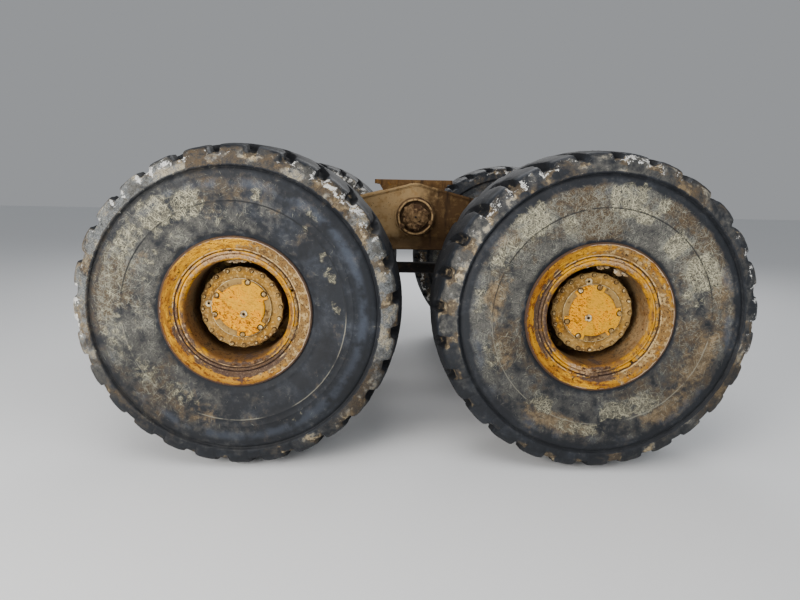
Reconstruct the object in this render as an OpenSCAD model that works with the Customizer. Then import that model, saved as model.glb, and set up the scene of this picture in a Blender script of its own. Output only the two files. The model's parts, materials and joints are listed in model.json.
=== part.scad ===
// Rear tandem bogie of an articulated dump truck.
// Two driven axles hang below a pair of walking beams that rest on a cross tube.
// X runs towards the rear of the truck, -Y is its left side, Z is up.
// The origin is on the ground, under the middle of the bogie. Sizes are in millimetres.

/* [Layout] */
// Distance between the two axles
axle_spacing = 1880; // [1820:5:2000]
// Distance between the middle planes of the left and right wheels
track = 2600; // [2560:10:2700]
// Height of the walking beam pivot above the axle centres
pivot_rise = 469; // [460:1:500]
// Turn of each wheel about its axle, in degrees: left front, left rear, right front, right rear
wheel_phase = [173, 100, 20, 250]; // [0:1:360]

/* [Tyre] */
// Radius over the lug tips
tyre_r = 860; // [850:1:875]
// Half of the width over the tread edges
tread_half_w = 332; // [325:1:338]
// How far below the lug tips the tread edge steps down to the sidewall
skirt_drop = 122; // [112:1:134]
// How far the tread edge stands proud of the sidewall
skirt_step = 10; // [6:1:13]
// Half of the width over the sidewalls
section_half_w = 338; // [335:1:342]
// How far below the lug tips the sidewall is widest
widest_drop = 240; // [220:1:260]
// Crown radius across the tread
crown_arc = 1840; // [1500:10:2400]
// Fall of the tread at its edge, beyond the crown arc
shoulder_drop = 85; // [70:1:95]
// Lugs on each side of the tread
lug_count = 28; // [24:1:30]
// Depth of the voids between the lugs at the middle of the tread
void_depth = 30; // [20:1:36]
// Slope of the void floor towards the tread edge, in degrees
void_slope = 11; // [9:0.5:12]
// Width of a void at the tread edge
void_w = 74; // [50:1:90]
// Thickness of the casing under the tread
casing_t = 62; // [55:1:75]
// Thickness of the sidewall
sidewall_t = 34; // [28:1:42]

/* [Rim] */
// Nominal bead seat radius of a 25 inch rim
bead_r = 317.5; // [315:0.5:320]
// Half of the rim width between the flanges
rim_half_w = 279.5; // [275:0.5:285]
// Height of the flanges above the bead seat
flange_h = 76; // [70:1:80]
// How far the flange lip curls out past the bead
flange_curl = 30.5; // [26:0.5:34]
// How far the barrel lies inside the bead seats
barrel_drop = 49.5; // [46:0.5:54]
// Thickness of the rolled rim steel
rim_t = 14; // [10:1:18]
// Place of the rim centre plate, measured outwards from the middle of the wheel
nave_w = -60; // [-80:1:-40]
// Thickness of the rim centre plate
nave_t = 26; // [20:1:32]
// Width of the split in the lock ring
lock_split = 14; // [8:1:24]
// Place of the split round the lock ring, in degrees
lock_split_angle = 209; // [200:1:220]

/* [Hub] */
// Radius over the lobes of the planetary drum
drum_r = 221; // [218:0.5:224]
// Outer face of the drum, measured outwards from the middle of the wheel
drum_face_w = 169; // [150:1:185]
// Thickness of the lobed front ring of the drum
drum_ring_t = 40; // [30:1:50]
// Lobes round the front ring, one at each bolt
drum_lobes = 20; // [16:1:24]
// How far the lobes stand out of the front ring
drum_lobe_h = 4.5; // [2:0.5:6]
// Radius of the planetary cover
cover_r = 161; // [155:1:165]
// Thickness of the cover's edge
cover_t = 11; // [8:1:16]
// Radius of the raised middle of the cover
plateau_r = 126; // [118:1:132]
// How far the middle of the cover stands up
plateau_h = 11; // [6:1:16]
// Radius of the cover bolt circle
cover_bolt_r = 144; // [141:1:147]
// Distance of the off-centre plug from the hub axis
plug_offset = 34; // [28:1:40]
// Radius of the spindle that carries the hub
spindle_r = 90; // [80:1:95]
// Running clearance between spindle and hub, on the radius
bearing_gap = 0.3; // [0.1:0.1:0.5]

/* [Brakes] */
// Radius of the brake disc
disc_r = 300; // [285:1:305]
// Thickness of the brake disc
disc_t = 24; // [18:1:30]
// Clearance between the disc and its calipers
disc_gap = 5; // [5:1:8]
// Radius of the brake carrier plate on the axle
carrier_r = 235; // [225:1:245]
// Places of the two calipers round a wheel end, in degrees
caliper_angles = [38, 96]; // [30:1:110]

/* [Axles] */
// Radius of the axle tube
tube_r = 110; // [100:1:120]
// Radius of the differential bowl
bowl_r = 250; // [240:1:270]
// Length of the differential bowl along the truck
bowl_len = 280; // [260:5:320]
// Height of the drive line above the axle centres
drive_rise = 34; // [20:1:50]
// Thickness of the housing arms beside the bowl
arm_t = 200; // [180:5:220]
// Length of the pinion nose in front of the bowl
nose_len = 250; // [220:5:280]
// Length of the through-drive housing behind the front bowl
tail_len = 170; // [140:5:200]
// Radius of the drive flanges
drive_flange_r = 88; // [80:1:95]
// Thickness of the drive flanges
drive_flange_t = 16; // [12:1:20]
// Radius of the bolt circle in the drive flanges
drive_bolt_r = 72; // [70:1:75]
// Radius of the bolt holes in the drive flanges
drive_hole_r = 6.5; // [5:0.5:7]
// Radius of the drive shaft tube
shaft_r = 43; // [38:1:48]

/* [Walking beams] */
// Distance of each beam's middle from the middle of the truck
beam_y = 810; // [800:1:815]
// Width of a beam over its flange plates
beam_w = 160; // [150:1:166]
// Height of a beam at its pivot
beam_h = 409; // [390:1:420]
// Slope of the top flange from the pivot to the ends, in degrees
beam_slope = 14.2; // [12:0.1:16]
// How far the ends reach past the axles
beam_end = 115; // [100:1:125]
// Thickness of the flange plates
beam_plate_t = 14; // [10:1:20]
// How far the flange plates stand out from the side plates
beam_lip = 9; // [6:1:12]
// Radius of the pivot boss
boss_r = 120; // [115:1:130]
// Radius of the pivot journal
journal_r = 85; // [78:1:90]
// Length of the rubber spring blocks along the truck
spring_len = 250; // [220:5:280]
// Width of the rubber spring blocks
spring_w = 158; // [140:2:160]
// Layers of rubber in a spring mount
spring_layers = 5; // [4:1:7]

/* [Cross tube and saddles] */
// Radius of the cross tube
cross_r = 100; // [90:1:105]
// Distance of each saddle's middle from the middle of the truck
saddle_y = 420; // [400:5:450]
// Width of a saddle across the truck
saddle_w = 230; // [210:5:250]
// Length of the saddle pad along the truck
saddle_len = 520; // [500:10:560]
// Height of the saddle pad above the pivot
saddle_rise = 226; // [215:1:240]
// Thickness of the saddle pad and webs
saddle_t = 28; // [22:1:34]
// Bolt spacing in the saddle pad along the truck
saddle_bolt_x = 420; // [400:5:440]
// Bolt spacing in the saddle pad across the truck
saddle_bolt_y = 130; // [120:5:140]
// Radius of the saddle bolt holes
saddle_hole_r = 17; // [12:0.5:18]
// Radius of the control rods
arm_r = 34; // [28:1:38]
// Radius of the eyes at the ends of the control rods
eye_r = 54; // [50:1:58]
// Width of the eyes
eye_w = 84; // [76:2:92]
// Thickness of the bracket cheeks that hold the eyes
cheek_t = 22; // [18:1:26]
// Radius of the pins through the eyes
pin_r = 24; // [20:1:28]
// Distance of the rods' outer eyes from the middle of the truck
rod_root_y = 330; // [320:5:345]
// Height of the rods' outer eyes above the axle centres
rod_root_rise = 245; // [240:1:265]
// Distance of the rods' inner eyes from the cross tube's line, along the truck
rod_tip_x = 175; // [170:1:185]
// Distance of the rods' inner eyes from the middle of the truck
rod_tip_y = 130; // [120:5:150]
// How far the rods' inner eyes lie below the cross tube's line
rod_tip_drop = 62; // [50:1:70]

/* [Hidden] */
$fn = 96;
axle_z = tyre_r;
pivot_z = axle_z + pivot_rise;
drive_z = axle_z + drive_rise;
half_span = axle_spacing / 2;
half_track = track / 2;
seat_gap = 0.3;
overlap = 1;

// Wheel profiles are drawn as [radius, distance outwards from the wheel's middle plane].
flange_r = bead_r + flange_h;
lip_w = rim_half_w + flange_curl;
crown_steps = 8;
wall_steps = 6;
shoulder_power = 16;
skirt_r = tyre_r - skirt_drop;
widest_r = tyre_r - widest_drop;
inner_wall_fall = section_half_w - tread_half_w + skirt_step;
outer_wall_fall = 40;
groove_floor_r = tyre_r - void_depth;

function crown_radius(w) =
    tyre_r - w * w / (2 * crown_arc) - shoulder_drop * pow(abs(w) / tread_half_w, shoulder_power);
function wall_w(r) =
    r > widest_r
        ? section_half_w - inner_wall_fall * pow((r - widest_r) / (skirt_r - widest_r), 2)
        : section_half_w - outer_wall_fall * pow((widest_r - r) / (widest_r - flange_r), 2);
// Contour where the tyre's bead lies against a flange, from the lip down to the seat.
function bead_seat(gap) = [
    [flange_r - 4, lip_w - 11 - gap],
    [flange_r - 18, lip_w - 19 - gap],
    [bead_r + 40, rim_half_w - gap],
    [bead_r + 12, rim_half_w - gap],
    [bead_r + gap, rim_half_w - 12 - gap],
    [bead_r - 2 + gap, rim_half_w - 50]
];
function mirrored(points) =
    concat(points, [for (i = [len(points) - 1:-1:1]) [points[i][0], -points[i][1]]]);

crown_half = [for (i = [1:crown_steps])
    let (w = tread_half_w * sin(90 * i / crown_steps)) [crown_radius(w), w]];
skirt_half = [[skirt_r, tread_half_w], [skirt_r, wall_w(skirt_r - 1)]];
wall_half = [for (i = [1:wall_steps])
    let (r = skirt_r + (flange_r + 6 - skirt_r) * i / wall_steps) [r, wall_w(r)]];
bead_half = concat(bead_seat(seat_gap), [[bead_r + 12, rim_half_w - 64]]);
liner_half = [for (i = [wall_steps:-1:1])
    let (r = skirt_r + (flange_r - skirt_r) * i / wall_steps) [r, wall_w(r) - sidewall_t]];
liner_crown = [for (f = [0.75, 0.3])
    [groove_floor_r - casing_t - (f * tread_half_w - casing_t) * tan(void_slope), f * tread_half_w]];
tyre_half = concat([[tyre_r, 0]], crown_half, skirt_half, wall_half, bead_half, liner_half, liner_crown);

module tyre() {
    color("#2b2d30")
    difference() {
        rotate_extrude() polygon(mirrored(tyre_half));
        for (side = [0, 1], i = [0:lug_count - 1])
            rotate([0, 0, (i + side / 2) * 360 / lug_count])
                mirror([0, 0, side])
                    tread_void();
    }
}

// One void between two lugs of one side: narrow near the middle, wide at the edge.
module tread_void() {
    void_top = void_depth + 60;
    inner_w = 46;
    bend_w = 170;
    outer_w = tread_half_w + 40;
    inner_shift = 62;
    bend_shift = 12;
    translate([groove_floor_r, 0, 0])
        rotate([0, 90 - void_slope, 0])
            linear_extrude(void_top)
                polygon([
                    [-inner_w, inner_shift - void_w / 5],
                    [-bend_w, bend_shift - void_w / 3],
                    [-outer_w, -void_w / 2],
                    [-outer_w, void_w / 2],
                    [-bend_w, bend_shift + void_w / 3],
                    [-inner_w, inner_shift + void_w / 5]
                ]);
}

barrel_r = bead_r - barrel_drop;
gutter_r = bead_r - 16;
gutter_w = rim_half_w + 2;
barrel_mouth_w = rim_half_w - 40;
nave_inner_r = drum_r + 4;

function at_inner_end(points) = [for (p = points) [p[0], -p[1]]];
function backwards(points) = [for (i = [len(points) - 1:-1:0]) points[i]];

// Rim base: fixed inboard flange, barrel, gutter for the lock ring and the bolted centre plate.
module rim() {
    outside = barrel_r + rim_t;
    color("#b07a26")
    rotate_extrude()
        polygon(concat(
            [[flange_r, -lip_w + 3], [flange_r, -lip_w + 10]],
            at_inner_end(bead_seat(0)),
            [
                [outside, -rim_half_w + 90],
                [outside, rim_half_w - 70],
                [gutter_r - 8, rim_half_w - 62],
                [gutter_r - 8, gutter_w - 28],
                [gutter_r, gutter_w - 22],
                [gutter_r, gutter_w - 8],
                [gutter_r - 6, gutter_w],
                [gutter_r - 16, gutter_w],
                [barrel_r + 5, barrel_mouth_w + 8],
                [barrel_r, barrel_mouth_w],
                [barrel_r, nave_w + nave_t],
                [nave_inner_r, nave_w + nave_t],
                [nave_inner_r, nave_w],
                [barrel_r, nave_w],
                [barrel_r, -rim_half_w + 90],
                [bead_r - 18, -rim_half_w + 50],
                [bead_r - 16, -rim_half_w - 4],
                [bead_r + 12, -rim_half_w - 14],
                [flange_r - 14, -lip_w]
            ]));
}

// Loose outboard flange with its bead seat band, held on by the lock ring.
module flange_ring() {
    band_w = 50;
    color("#b9802a")
    rotate_extrude()
        polygon(concat(
            [
                [flange_r, lip_w - 10],
                [flange_r, lip_w - 5],
                [flange_r - 4, lip_w - 1],
                [flange_r - 10, lip_w],
                [flange_r - 20, lip_w - 1],
                [flange_r - 34, lip_w - 5],
                [flange_r - 48, lip_w - 12],
                [flange_r - 60, lip_w - 19],
                [bead_r + 6, lip_w - 27],
                [bead_r + 1, gutter_w],
                [bead_r + 1, gutter_w - 10],
                [gutter_r + 4, gutter_w - 30],
                [gutter_r + 4, rim_half_w - band_w]
            ],
            backwards(bead_seat(0))));
}

// Split ring that snaps into the gutter and wedges the bead seat band.
module lock_ring() {
    color("#9c6c28")
    difference() {
        rotate_extrude()
            polygon([
                [gutter_r + seat_gap, gutter_w - 22],
                [gutter_r + 6, gutter_w - 25],
                [bead_r - 1, gutter_w - 12],
                [bead_r + 1 - seat_gap, gutter_w - 8],
                [bead_r - 1, gutter_w + 2],
                [bead_r - 7, gutter_w + 5],
                [gutter_r + 4, gutter_w + 4],
                [gutter_r + seat_gap, gutter_w - 2]
            ]);
        rotate([0, 0, lock_split_angle])
            translate([gutter_r - overlap, -lock_split / 2, 0])
                cube([bead_r + 5 - gutter_r, lock_split, section_half_w]);
    }
}

hub_inner_w = -370;
disc_face_w = hub_inner_w + 29;
hub_tube_r = spindle_r + 60;
disc_seat_r = hub_tube_r + 42;
wheel_flange_r = barrel_r - 6;
wheel_flange_t = 25;
spindle_end_w = -100;
drum_back_r = drum_r - 16;
plug_r = 14;
plug_socket_r = 5;

// Planetary hub: runs on the spindle, carries the rim, the brake disc and the cover.
module hub() {
    lobe_r = 30;
    color("#b98a3c")
    difference() {
        union() {
            rotate_extrude()
                polygon([
                    [0, hub_inner_w],
                    [hub_tube_r, hub_inner_w],
                    [hub_tube_r, disc_face_w],
                    [disc_seat_r, disc_face_w],
                    [disc_seat_r, disc_face_w + 20],
                    [hub_tube_r + 6, disc_face_w + 34],
                    [hub_tube_r + 14, nave_w - wheel_flange_t - 40],
                    [hub_tube_r + 40, nave_w - wheel_flange_t],
                    [wheel_flange_r, nave_w - wheel_flange_t],
                    [wheel_flange_r, nave_w],
                    [drum_back_r, nave_w],
                    [drum_back_r, drum_face_w - 4],
                    [0, drum_face_w - 4]
                ]);
            translate([0, 0, drum_face_w - drum_ring_t])
                linear_extrude(drum_ring_t)
                    union() {
                        circle(r = drum_r - drum_lobe_h);
                        for (i = [0:drum_lobes - 1])
                            rotate([0, 0, (i + 0.5) * 360 / drum_lobes])
                                translate([drum_r - lobe_r, 0])
                                    circle(r = lobe_r);
                    }
            plug_boss(0, cover_r + plug_r + 1);
        }
        translate([0, 0, hub_inner_w - overlap])
            cylinder(h = spindle_end_w + 10 - hub_inner_w, r = spindle_r + bearing_gap);
    }
}

// Raised ring of a screwed plug, at an angle and a distance from the hub axis.
module plug_boss(angle, distance) {
    rotate([0, 0, angle])
        translate([distance, 0, drum_face_w - overlap])
            difference() {
                cylinder(h = 8 + overlap, r = plug_r, $fn = 32);
                translate([0, 0, 4])
                    cylinder(h = 8, r = plug_socket_r, $fn = 4);
            }
}

// Cover of the planetary gears: three pairs of bolts sit in pockets in its raised middle.
module hub_cover() {
    pocket_r = 18;
    pair_spread = 21;
    lobe_half_angle = 33;
    ledge_angle = 120 - 2 * lobe_half_angle;
    face_w = drum_face_w;
    top_w = face_w + cover_t + plateau_h;
    plug_angle = 124;
    color("#d09a34")
    difference() {
        union() {
            rotate_extrude()
                polygon([
                    [0, face_w],
                    [cover_r, face_w],
                    [cover_r, face_w + cover_t - 2],
                    [cover_r - 2, face_w + cover_t],
                    [cover_r - 5, face_w + cover_t],
                    [cover_r - 7, top_w - 2],
                    [plateau_r - 6, top_w - 2],
                    [plateau_r - 8, top_w],
                    [0, top_w]
                ]);
            rotate([0, 0, plug_angle])
                translate([plug_offset, 0, face_w + 2])
                    cylinder(h = top_w - face_w + 3, r = plug_r + 2, $fn = 32);
        }
        for (k = [0:2])
            rotate([0, 0, k * 120 + lobe_half_angle])
                rotate_extrude(angle = ledge_angle)
                    translate([plateau_r, face_w + cover_t])
                        square([cover_r + 5 - plateau_r, plateau_h + 5]);
        for (k = [0:2], s = [-1, 1])
            rotate([0, 0, k * 120 + s * pair_spread])
                translate([cover_bolt_r, 0, face_w + cover_t + 1])
                    cylinder(h = plateau_h + 5, r = pocket_r, $fn = 32);
        rotate([0, 0, plug_angle])
            translate([plug_offset, 0, top_w + 1])
                cylinder(h = 8, r = plug_socket_r, $fn = 4);
    }
}

module brake_disc() {
    color("#6f6a63")
    translate([0, 0, disc_face_w - disc_t])
        difference() {
            cylinder(h = disc_t, r = disc_r);
            translate([0, 0, -overlap])
                cylinder(h = disc_t + 2 * overlap, r = hub_tube_r + seat_gap);
        }
}

// Turns a part drawn round Z, with its outer side up, to its wheel's place.
module at_wheel(i) {
    front = i % 2 == 0 ? -1 : 1;
    right = i < 2 ? 0 : 1;
    mirror([0, right, 0])
        translate([front * half_span, -half_track, axle_z])
            rotate([90, 0, 0])
                rotate([0, 0, wheel_phase[i]])
                    children();
}

// Places a part at both ends of an axle, mirrored from side to side.
module at_both_ends(axle) {
    for (right = [0, 1])
        mirror([0, right, 0])
            translate([axle * half_span, -half_track, axle_z])
                rotate([90, 0, 0])
                    children();
}

carrier_w = hub_inner_w - 5;
carrier_t = 25;
caliper_in_w = carrier_w - carrier_t;
slot_low_w = disc_face_w - disc_t - disc_gap;
slot_high_w = disc_face_w + disc_gap;
caliper_out_w = slot_high_w + 22;
caliper_top_r = disc_r + 42;
caliper_sweep = 46;

// Two fixed calipers on each wheel end, seated on the rim of the carrier plate.
module brake_calipers(axle) {
    color("#5b564e")
    at_both_ends(axle)
        for (a = caliper_angles)
            rotate([0, 0, axle < 0 ? a : 180 - a - caliper_sweep])
                rotate_extrude(angle = caliper_sweep)
                    polygon([
                        [carrier_r + seat_gap, caliper_in_w],
                        [caliper_top_r - 10, caliper_in_w],
                        [caliper_top_r, caliper_in_w + 10],
                        [caliper_top_r, caliper_out_w - 8],
                        [caliper_top_r - 8, caliper_out_w],
                        [disc_r - 75, caliper_out_w],
                        [disc_r - 75, slot_high_w],
                        [disc_r + 12, slot_high_w],
                        [disc_r + 12, slot_low_w],
                        [carrier_r + seat_gap, slot_low_w]
                    ]);
}

pad_top_z = axle_z + tube_r + 20;
beam_bottom_z = pivot_z + beam_h / 2 - beam_h;
spindle_y = half_track + spindle_end_w;
carrier_y = half_track + carrier_w;

// Axle housing: spindles, carrier plates and tubes turned about one line, with the bowl between.
module axle_housing(axle) {
    bowl_half = bowl_len / 2;
    arm_root_y = bowl_half - 20;
    arm_root_h = bowl_r - 20;
    arm_tip_y = rod_root_y + 140;
    arm_tip_h = tube_r + 8;
    color("#7d5a22")
    union() {
        translate([axle * half_span, 0, axle_z]) {
            rotate([90, 0, 0])
                rotate_extrude()
                    polygon(mirrored_ends([
                        [tube_r, 0],
                        [tube_r, carrier_y - carrier_t - 20],
                        [tube_r + 20, carrier_y - carrier_t],
                        [carrier_r, carrier_y - carrier_t],
                        [carrier_r, carrier_y],
                        [spindle_r + 22, carrier_y],
                        [spindle_r + 22, carrier_y + 3],
                        [spindle_r, carrier_y + 3],
                        [spindle_r, spindle_y]
                    ]));
            rotate([0, 90, 0])
                translate([0, 0, -bowl_half])
                    cylinder(h = bowl_len, r = bowl_r);
            rotate([90, 0, 90])
                linear_extrude(arm_t, center = true)
                    polygon([
                        [-arm_tip_y, -arm_tip_h],
                        [-arm_root_y, -arm_root_h],
                        [arm_root_y, -arm_root_h],
                        [arm_tip_y, -arm_tip_h],
                        [arm_tip_y, arm_tip_h],
                        [arm_root_y, arm_root_h],
                        [-arm_root_y, arm_root_h],
                        [-arm_tip_y, arm_tip_h]
                    ]);
            for (side = [-1, 1])
                translate([-spring_len / 2 - 5, side * beam_y - spring_w / 2, 0])
                    cube([spring_len + 10, spring_w, pad_top_z - axle_z]);
        }
        for (side = [-1, 1])
            at_rod(axle, side)
                rod_clevis(rod_root_rise - tube_r / 2, -90);
    }
}
function mirrored_ends(points) =
    concat([[0, -points[len(points) - 1][1]]],
        [for (i = [len(points) - 1:-1:1]) [points[i][0], -points[i][1]]],
        points,
        [[0, points[len(points) - 1][1]]]);

// The control rods run inwards from brackets on the axle housings to the cross tube.
rod_root = [half_span - arm_t / 2 + 5, rod_root_y, axle_z + rod_root_rise];
rod_tip = [rod_tip_x, rod_tip_y, pivot_z - rod_tip_drop];
rod_run = [rod_tip[0] - rod_root[0], rod_tip[1] - rod_root[1]];
rod_len = norm(rod_run);
rod_rise = rod_tip[2] - rod_root[2];
rod_heading = atan2(rod_run[1], rod_run[0]);

// Frame of one control rod: its eye on the axle at the origin, its other eye along +X.
module at_rod(axle, side) {
    mirror([axle < 0 ? 1 : 0, 0, 0])
        mirror([0, side < 0 ? 1 : 0, 0])
            translate(rod_root)
                rotate([0, 0, rod_heading])
                    children();
}

// Two cheeks and the pin that hold a rod's eye. The cheeks run away from the eye, turned down by drop.
module rod_clevis(reach, drop) {
    rotate([0, -drop, 0])
        rotate([90, 0, 0])
            for (side = [-1, 1])
                translate([0, 0, side * (eye_w / 2 + seat_gap + cheek_t / 2)])
                    linear_extrude(cheek_t, center = true)
                        union() {
                            circle(r = eye_r - 6);
                            translate([0, 6 - eye_r])
                                square([reach, 2 * eye_r - 12]);
                        }
    rotate([90, 0, 0])
        cylinder(h = eye_w + 2 * cheek_t + 16, r = pin_r, center = true);
}

// A straight round bar between two points of the XZ plane.
module bar(p, q, r) {
    run = q - p;
    translate([p[0], 0, p[1]])
        rotate([0, 90 - atan2(run[1], run[0]), 0])
            cylinder(h = norm(run), r = r);
}

// The two rods that tie an axle to the cross tube, each with a rubber-bushed eye at both ends.
module control_rods(axle) {
    color("#6b4f22")
    for (side = [-1, 1])
        at_rod(axle, side)
            difference() {
                union() {
                    bar([0, 0], [rod_len, rod_rise], arm_r);
                    for (end = [0, 1])
                        translate([end * rod_len, 0, end * rod_rise])
                            rotate([90, 0, 0])
                                cylinder(h = eye_w, r = eye_r, center = true);
                }
                for (end = [0, 1])
                    translate([end * rod_len, 0, end * rod_rise])
                        rotate([90, 0, 0])
                            cylinder(h = eye_w + 2, r = pin_r + seat_gap, center = true);
            }
}

// Differential carrier with the pinion nose, and on the front axle the through-drive behind it.
module diff_carrier(axle) {
    bowl_half = bowl_len / 2;
    tip = bowl_half + nose_len;
    tail = bowl_half + tail_len;
    color("#84622b")
    translate([axle * half_span, 0, axle_z]) {
        drive_end(-1, bowl_half, tip, axle < 0);
        if (axle < 0)
            drive_end(1, bowl_half, tail, false);
        else
            rotate([0, 90, 0])
                translate([0, 0, bowl_half])
                    cylinder(h = 46, r1 = bowl_r - 22, r2 = bowl_r - 70);
    }
}

// Turned housing on one side of the bowl, ending in a drive flange.
module drive_end(way, bowl_half, tip, drilled) {
    neck_r = drive_flange_r - 26;
    difference() {
        translate([0, 0, drive_rise])
            rotate([0, 90 * way, 0])
                rotate_extrude()
                    polygon([
                        [0, bowl_half],
                        [bowl_r - drive_rise - 16, bowl_half],
                        [bowl_r - drive_rise - 16, bowl_half + 24],
                        [bowl_r - drive_rise - 46, bowl_half + 34],
                        [112, tip - 66],
                        [104, tip - 34],
                        [neck_r, tip - 34],
                        [neck_r, tip - drive_flange_t],
                        [drive_flange_r, tip - drive_flange_t],
                        [drive_flange_r, tip],
                        [0, tip]
                    ]);
        if (drilled) for (i = [0:7])
            translate([0, 0, drive_rise])
                rotate([0, 90 * way, 0])
                    rotate([0, 0, (i + 0.5) * 45])
                        translate([drive_bolt_r, 0, tip - drive_flange_t - overlap])
                            cylinder(h = drive_flange_t + 2 * overlap, r = drive_hole_r, $fn = 24);
    }
}

front_tail_x = -half_span + bowl_len / 2 + tail_len;
rear_nose_x = half_span - bowl_len / 2 - nose_len;

// One of a fork's two flat ears, with a round end about the joint's centre at the origin.
module fork_ear(reach) {
    linear_extrude(fork_t, center = true)
        union() {
            circle(r = ear_r);
            translate([-reach, -ear_r])
                square([reach, 2 * ear_r]);
        }
}

fork_t = 26;
ear_r = 30;
ear_y = drive_flange_r - 34;
spider_r = 15;
joint_x = 62;
joint_len = 132;

// Drive shaft between the axles: flange, two forks and the cross between them at each end of a tube.
module drive_shaft() {
    length = rear_nose_x - front_tail_x;
    neck_t = 34;
    color("#3a342c")
    translate([front_tail_x, 0, drive_z]) {
        for (end = [0, 1])
            translate([end * length, 0, 0])
                mirror([end, 0, 0])
                    union() {
                        rotate([0, 90, 0])
                            cylinder(h = drive_flange_t, r = drive_flange_r);
                        translate([joint_x, 0, 0]) {
                            for (side = [-1, 1]) {
                                translate([0, side * ear_y, 0])
                                    rotate([90, 0, 0])
                                        fork_ear(joint_x - overlap);
                                translate([0, 0, side * ear_y])
                                    mirror([1, 0, 0])
                                        fork_ear(joint_len - joint_x - neck_t + overlap);
                            }
                            for (turn = [0, 90])
                                rotate([turn, 0, 0])
                                    cylinder(h = 2 * ear_y, r = spider_r, center = true);
                        }
                        translate([joint_len - neck_t, 0, 0])
                            rotate([0, 90, 0])
                                cylinder(h = neck_t, r1 = ear_y + fork_t / 2 + 2, r2 = shaft_r + 6);
                    }
        translate([joint_len - overlap, 0, 0])
            rotate([0, 90, 0])
                cylinder(h = length - 2 * (joint_len - overlap), r = shaft_r);
    }
}

// Outline of a walking beam's side plate, seen from the side, with the pivot at the origin.
beam_top = beam_h / 2;
beam_tip_x = half_span + beam_end;
beam_tip_h = beam_top - tan(beam_slope) * beam_tip_x;
nose_round = 46;
peak_half = 58;
peak_drop = tan(beam_slope) * peak_half * 0.45;
function beam_outline(inset) = [
    [-beam_tip_x + inset, -beam_top + nose_round],
    [-beam_tip_x + nose_round, -beam_top + inset],
    [beam_tip_x - nose_round, -beam_top + inset],
    [beam_tip_x - inset, -beam_top + nose_round],
    [beam_tip_x - inset, beam_tip_h - inset],
    [peak_half, beam_top - tan(beam_slope) * peak_half + 2 - inset],
    [peak_half / 2, beam_top - peak_drop / 2 - inset],
    [0, beam_top - inset],
    [-peak_half / 2, beam_top - peak_drop / 2 - inset],
    [-peak_half, beam_top - tan(beam_slope) * peak_half + 2 - inset],
    [-beam_tip_x + inset, beam_tip_h - inset]
];

// Walking beam: box of side plates between flange plates, with a bored boss at the pivot.
module beam(side) {
    core_w = beam_w - 2 * beam_lip;
    color("#5a4326")
    translate([0, side * beam_y, pivot_z])
        difference() {
            union() {
                rotate([90, 0, 0])
                    linear_extrude(core_w, center = true)
                        polygon(beam_outline(0));
                rotate([90, 0, 0])
                    linear_extrude(beam_w, center = true)
                        difference() {
                            polygon(beam_outline(0));
                            polygon(beam_outline(beam_plate_t));
                        }
                rotate([90, 0, 0])
                    cylinder(h = beam_w + 14, r = boss_r, center = true);
            }
            rotate([90, 0, 0])
                cylinder(h = beam_w + 40, r = journal_r + bearing_gap, center = true);
        }
}

// Plate with rounded corners, drawn upwards from the XY plane.
module rounded_plate(len, w, r, t) {
    linear_extrude(t)
        union() {
            square([len, w - 2 * r], center = true);
            square([len - 2 * r, w], center = true);
            for (i = [-1, 1], j = [-1, 1])
                translate([i * (len / 2 - r), j * (w / 2 - r)])
                    circle(r = r, $fn = 32);
        }
}

// Rubber and steel sandwich mounts between the beam ends and an axle's pads.
module spring_mounts(axle) {
    height = beam_bottom_z - pad_top_z;
    plate_t = 10;
    pitch = (height - plate_t) / spring_layers;
    neck = 8;
    color("#24211e")
    for (side = [-1, 1])
        translate([axle * half_span, side * beam_y, pad_top_z])
            union() {
                for (i = [0:spring_layers])
                    translate([0, 0, i * pitch])
                        rounded_plate(spring_len, spring_w, 26, plate_t);
                for (i = [0:spring_layers - 1])
                    translate([0, 0, i * pitch + plate_t / 2])
                        rounded_plate(spring_len - 2 * neck, spring_w - 2 * neck, 22, pitch);
            }
}

collar_y = beam_y - beam_w / 2 - 7 - seat_gap;
journal_end_y = beam_y + beam_w / 2 + 7;

// Cross tube with the pivot journals at its ends and the rod brackets on its middle.
module cross_tube() {
    collar_t = 34;
    color("#6b4f22")
    union() {
        translate([0, 0, pivot_z])
            rotate([90, 0, 0])
                rotate_extrude()
                    polygon(mirrored_ends([
                        [cross_r, 0],
                        [cross_r, collar_y - collar_t - 20],
                        [boss_r, collar_y - collar_t],
                        [boss_r, collar_y],
                        [journal_r, collar_y],
                        [journal_r, journal_end_y]
                    ]));
        for (axle = [-1, 1], side = [-1, 1])
            at_rod(axle, side)
                translate([rod_len, 0, rod_rise])
                    rod_clevis(0.8 * rod_tip_x, 0);
    }
}

// Retaining ring, dished cap and bolt that keep a beam on its journal.
module trunnion_caps() {
    ring_r = boss_r - 2;
    lip_r = boss_r - 26;
    cap_r = boss_r - 46;
    head_r = 36;
    color("#4a3c2c")
    for (side = [-1, 1])
        translate([0, side * (journal_end_y + seat_gap), pivot_z])
            rotate([-90 * side, 0, 0])
                union() {
                    rotate_extrude()
                        polygon([
                            [0, 0],
                            [ring_r - 3, 0],
                            [ring_r, 3],
                            [ring_r, 9],
                            [ring_r - 4, 13],
                            [lip_r + 6, 15],
                            [lip_r, 23],
                            [lip_r - 5, 24],
                            [lip_r - 8, 21],
                            [lip_r - 9, 8],
                            [cap_r, 8],
                            [cap_r - 3, 28],
                            [cap_r - 12, 36],
                            [head_r + 8, 38],
                            [head_r + 5, 42],
                            [0, 42]
                        ]);
                    cylinder(h = 56, r = head_r, $fn = 6);
                }
}

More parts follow.
